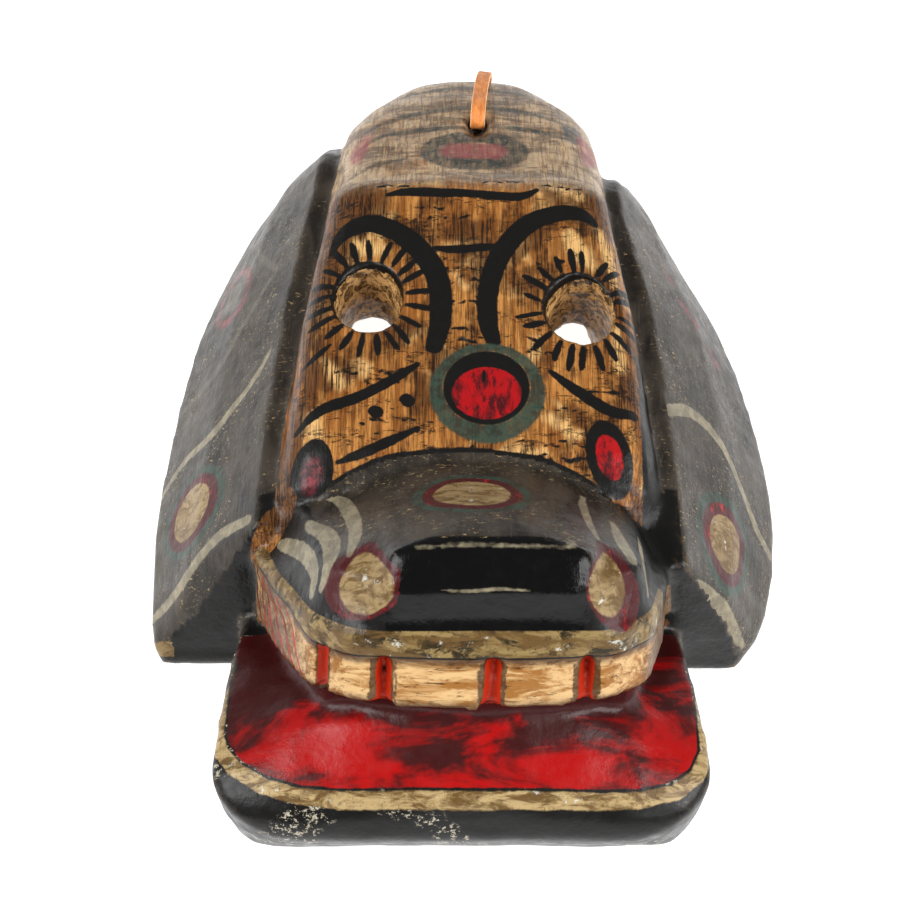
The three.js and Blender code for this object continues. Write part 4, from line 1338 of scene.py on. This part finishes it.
    def _carve(self, mesh: bpy.types.Mesh) -> None:
        """Knife marks, gouge marks in the hollow and chips along the edges.

        Args:
            mesh: The mask's mesh.
        """
        charts = self._charts(mesh)
        bend = self._hollows_and_ridges(mesh, charts)
        bare = MaskPaint(charts).bare() < 0
        bore = bare & (charts.z > 45) & (charts.z < 76)
        jaw = MaskPaint(charts).jaw() < 0
        groove = MaskPaint(charts).corner_groove()
        moved = charts.place.copy()
        depth = np.zeros(len(moved))
        for i, point in enumerate(charts.place):
            wide = noise.noise(Vector(point / self.wave_length))
            fine = noise.noise(Vector(point / self.knife_length) + Vector((7, 3, 1)))
            depth[i] = self.wave_depth * wide + self.knife_depth * fine
            if bare[i] and charts.z[i] > 1:
                cell = noise.voronoi(Vector(point / self.gouge_cell))[0][0]
                depth[i] += self.gouge_depth * (cell * cell - 1 / 3)
            if bore[i]:
                depth[i] += self.bore_depth * noise.noise(Vector(point / self.bore_length))
            if jaw[i]:
                depth[i] += self.jaw_depth * noise.noise(Vector(point / self.jaw_cell))
            depth[i] -= groove[i]
            if bend[i] > self.chip_bend:
                chip = noise.noise(Vector(point / self.chip_length) + Vector((2, 9, 5)))
                depth[i] -= max(0.0, chip - self.chip_start) * self.chip_depth
        moved += charts.normal * depth[:, None]
        moved[:, 2] = np.maximum(moved[:, 2], np.where(charts.place[:, 2] < 1.0, 0.0, 0.4))
        inside = np.clip((moved - DRAWING_ORIGIN) * MM, np.array(CAD_BOX[0]), np.array(CAD_BOX[1]))
        mesh.vertices.foreach_set("co", inside.ravel())
        mesh.update()

    def _paint(self, mesh: bpy.types.Mesh) -> None:
        """Store the paint layers and the wear as attributes.

        Args:
            mesh: The mask's mesh.
        """
        charts = self._charts(mesh)
        layers = MaskPaint(charts).layers()
        layers["wear"] = np.interp(self._hollows_and_ridges(mesh, charts), self.wear_bend, (0, 1))
        for name, values in layers.items():
            attribute = mesh.attributes.new(name, "FLOAT", "POINT")
            attribute.data.foreach_set("value", values.astype(np.float32))

    def build(self) -> bpy.types.Object:
        """Returns:
            The finished piece.
        """
        piece = self._skin()
        self._refine(piece.data)
        self._relax(piece.data)
        self._carve(piece.data)
        self._paint(piece.data)
        piece.data.materials.clear()
        piece.data.materials.append(PaintedWood().build())
        piece.data.shade_smooth()
        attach(piece, "root")
        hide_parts(self.NODE)
        return piece


@dataclass
class LeatherLoop:
    """Flat leather strip through the crown, tied behind it. Route in the drawing's millimetres."""

    width: float = 5.2
    thickness: float = 1.8
    route: Path = (
        (4.4, 198.5, 11), (4.3, 193, 13), (4.1, 187, 17.8), (3.8, 174, 30), (3.6, 161, 42.2),
        (3.4, 150.5, 52), (3.4, 146.5, 56.3), (3.5, 147.5, 59.3), (3.8, 152.5, 59.6), (4.4, 162, 54.6),
        (5.2, 173, 48.6), (6, 181.5, 42.4), (6.5, 187.3, 36.6), (6.7, 191.8, 30), (6.6, 195.2, 23.5),
        (6, 197.6, 17.5), (5, 199, 12.5),
    )
    knot_centre: tuple[float, float, float] = (4.6, 199.5, 9.5)
    knot_size: float = 2.6
    knot_share: float = 0.62
    knot_steps: int = 21
    knot_turn: float = 0.97
    knot_swell: float = 0.42
    knot_reach: float = 0.9
    step: float = 1.6
    edge_radius: float = 0.6

    def _curve(self, name: str, points: list[Vector]) -> bpy.types.Object:
        """Smooth open curve through points.

        Args:
            name: Name of the curve.
            points: Places in metres.

        Returns:
            The curve object.
        """
        data = bpy.data.curves.new(name, "CURVE")
        data.dimensions = "3D"
        spline = data.splines.new("BEZIER")
        spline.bezier_points.add(len(points) - 1)
        for knot, place in zip(spline.bezier_points, points):
            knot.co = place
            knot.handle_left_type = knot.handle_right_type = "AUTO"
        spline.resolution_u = 4
        made = bpy.data.objects.new(name, data)
        bpy.context.scene.collection.objects.link(made)
        return made

    def _strip_tree(self) -> bpy.types.GeometryNodeTree:
        """Tree that lays a flat strip with eased edges along a curve.

        Returns:
            The node tree, with its width and thickness as named inputs.
        """
        tree = bpy.data.node_groups.new("leather_strip", "GeometryNodeTree")
        inputs = {"Geometry": "Geometry", "Width": "Float", "Thickness": "Float", "Material": "Material"}
        for name, kind in inputs.items():
            tree.interface.new_socket(name, in_out="INPUT", socket_type="NodeSocket" + kind)
        tree.interface.new_socket("Geometry", in_out="OUTPUT", socket_type="NodeSocketGeometry")
        nodes = {}
        easing = {"Count": 3, "Radius": self.edge_radius * MM}
        stored = {"data_type": "FLOAT", "domain": "POINT"}
        for key, kind, settings, values in (
            ("given", "NodeGroupInput", {}, {}),
            ("result", "NodeGroupOutput", {}, {}),
            ("resample", "GeometryNodeResampleCurve", {"mode": "LENGTH"}, {"Length": self.step * MM}),
            ("profile", "GeometryNodeCurvePrimitiveQuadrilateral", {}, {}),
            ("fillet", "GeometryNodeFilletCurve", {"mode": "POLY"}, easing),
            ("sweep", "GeometryNodeCurveToMesh", {}, {"Fill Caps": True}),
            ("place", "GeometryNodeInputPosition", {}, {}),
            ("split", "ShaderNodeSeparateXYZ", {}, {}),
            ("size", "ShaderNodeMath", {"operation": "ABSOLUTE"}, {}),
            ("share", "ShaderNodeMath", {"operation": "DIVIDE"}, {}),
            ("double", "ShaderNodeMath", {"operation": "MULTIPLY"}, {1: 2.0}),
            ("power", "ShaderNodeMath", {"operation": "POWER"}, {1: 10.0}),
            ("store", "GeometryNodeStoreNamedAttribute", stored, {"Name": "cut_edge"}),
            ("realize", "GeometryNodeRealizeInstances", {}, {}),
            ("paint", "GeometryNodeSetMaterial", {}, {}),
        ):
            node = nodes[key] = tree.nodes.new(kind)
            for setting, value in settings.items():
                setattr(node, setting, value)
            for socket, value in values.items():
                node.inputs[socket].default_value = value
        for giver, out, taker, into in (
            ("given", "Geometry", "resample", "Curve"), ("given", "Width", "profile", "Width"),
            ("given", "Thickness", "profile", "Height"), ("profile", "Curve", "fillet", "Curve"),
            ("place", "Position", "split", "Vector"), ("split", "X", "size", 0), ("size", 0, "share", 0),
            ("given", "Width", "share", 1), ("share", 0, "double", 0), ("double", 0, "power", 0),
            ("fillet", "Curve", "store", "Geometry"), ("power", 0, "store", "Value"),
            ("resample", "Curve", "sweep", "Curve"), ("store", "Geometry", "sweep", "Profile Curve"),
            ("sweep", "Mesh", "realize", "Geometry"), ("realize", "Geometry", "paint", "Geometry"),
            ("given", "Material", "paint", "Material"), ("paint", "Geometry", "result", "Geometry"),
        ):
            tree.links.new(nodes[giver].outputs[out], nodes[taker].inputs[into])
        return tree

    def _strip(
        self, name: str, points: list[Vector], tree: bpy.types.GeometryNodeTree, scale: float,
        finish: bpy.types.Material,
    ) -> bpy.types.Object:
        """Strip of leather along points.

        Args:
            name: Name of the piece.
            points: Places along the strip in metres.
            tree: The strip's node tree.
            scale: Share of the full width and thickness.
            finish: Material of the strip.

        Returns:
            The finished mesh piece.
        """
        curve = self._curve(name + "_line", points)
        modifier = curve.modifiers.new("strip", "NODES")
        modifier.node_group = tree
        width, thickness = self.width * MM * scale, self.thickness * MM * scale
        values = {"Width": width, "Thickness": thickness, "Material": finish}
        for item in tree.interface.items_tree:
            if item.in_out == "INPUT" and item.name in values:
                modifier[item.identifier] = values[item.name]
        graph = bpy.context.evaluated_depsgraph_get()
        mesh = bpy.data.meshes.new_from_object(curve.evaluated_get(graph))
        piece = bpy.data.objects.new(name, mesh)
        bpy.context.scene.collection.objects.link(piece)
        bpy.data.objects.remove(curve)
        if not mesh.materials:
            mesh.materials.append(finish)
        mesh.shade_smooth()
        return piece

    def _knot_points(self) -> list[Vector]:
        """One overhand turn of the strip.

        Returns:
            Places along the turn in metres.
        """
        points = []
        for i in range(self.knot_steps + 1):
            turn = 2 * math.pi * i / self.knot_steps * self.knot_turn
            reach = self.knot_size * (1 + self.knot_swell * math.cos(3 * turn)) * self.knot_reach
            x, z = reach * math.cos(2 * turn), reach * math.sin(2 * turn)
            y = self.knot_size * self.knot_swell * math.sin(3 * turn)
            points.append(metres(np.array(self.knot_centre) + (x, y, z)))
        return points

    def build(self) -> list[bpy.types.Object]:
        """Build the strip and its knot.

        Returns:
            The strip and the knot.
        """
        finish = StrapLeather().build()
        tree = self._strip_tree()
        route = [metres(p) for p in self.route]
        strap = self._strip("leather_strip", route, tree, 1.0, finish)
        knot = self._strip("leather_knot", self._knot_points(), tree, self.knot_share, finish)
        for piece in (strap, knot):
            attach(piece, "root")
        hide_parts("leather_loop")
        return [strap, knot]


class Lamp(Enum):
    """Soft boxes of the studio: place in metres, size in metres and power in watts."""

    LEFT = ((-1.0, -0.25, 0.85), 0.8, 18.0)
    RIGHT = ((1.0, -0.45, 0.75), 0.8, 17.0)
    NOSE = ((0.5, -0.9, 0.5), 0.2, 1.0)


@dataclass
class Studio:
    """Pale floor, soft light and the camera at the photograph's angle. Stand and aim in drawing mm."""

    lens: float = 82.08
    sensor: float = 36.0
    shift_x: float = -0.02
    stand: tuple[float, float, float] = (0.0, -324.0, 637.7)
    aim: tuple[float, float, float] = (0.0, 0.0, 76.5)
    floor_half: float = 6.0
    floor_grey: float = 0.45
    floor_glow: float = 0.95
    room_light: float = 0.3

    def camera(self) -> None:
        """Camera that looks down on the mask from the chin side."""
        data = bpy.data.cameras.new("camera")
        data.lens, data.sensor_width, data.shift_x = self.lens, self.sensor, self.shift_x
        made = bpy.data.objects.new("camera", data)
        bpy.context.scene.collection.objects.link(made)
        place, aim = metres(self.stand), metres(self.aim)
        made.location = place
        made.rotation_euler = (aim - place).to_track_quat("-Z", "Y").to_euler()
        bpy.context.scene.camera = made

    def floor(self) -> None:
        """Wide pale floor that glows a little, as a light table does."""
        mesh = bpy.data.meshes.new("floor")
        half = self.floor_half
        corners = [(-half, -half, 0), (half, -half, 0), (half, half, 0), (-half, half, 0)]
        mesh.from_pydata(corners, [], [(0, 1, 2, 3)])
        made = bpy.data.objects.new("floor", mesh)
        bpy.context.scene.collection.objects.link(made)
        g = Graph("pale_floor")
        g.shader.inputs["Base Color"].default_value = (*[self.floor_grey] * 3, 1)
        g.shader.inputs["Roughness"].default_value = 0.9
        g.shader.inputs["Emission Color"].default_value = (1, 1, 1, 1)
        g.shader.inputs["Emission Strength"].default_value = self.floor_glow
        mesh.materials.append(g.material)

    def light(self) -> None:
        """Soft boxes and a white room."""
        for lamp in Lamp:
            place, size, power = lamp.value
            data = bpy.data.lights.new(lamp.name.lower(), "AREA")
            data.size, data.energy = size, power
            made = bpy.data.objects.new(lamp.name.lower(), data)
            made.location = place
            made.rotation_euler = (Vector((0, 0, 0.05)) - Vector(place)).to_track_quat("-Z", "Y").to_euler()
            bpy.context.scene.collection.objects.link(made)
        world = bpy.data.worlds.new("room")
        world.use_nodes = True
        world.node_tree.nodes["Background"].inputs["Color"].default_value = (1, 1, 1, 1)
        world.node_tree.nodes["Background"].inputs["Strength"].default_value = self.room_light
        bpy.context.scene.world = world
        bpy.context.scene.view_settings.view_transform = "Standard"


def main() -> None:
    """Build the camera, the cord, the mask and the studio."""
    logging.basicConfig(level=logging.INFO, format="%(name)s: %(message)s")
    studio = Studio()
    studio.camera()
    for piece in LeatherLoop().build():
        LOG.info("%s: %d faces", piece.name, len(piece.data.polygons))
    mask = CarvedMask().build()
    LOG.info("%s: %d faces", mask.name, len(mask.data.polygons))
    studio.floor()
    studio.light()


if __name__ == "__main__":
    main()
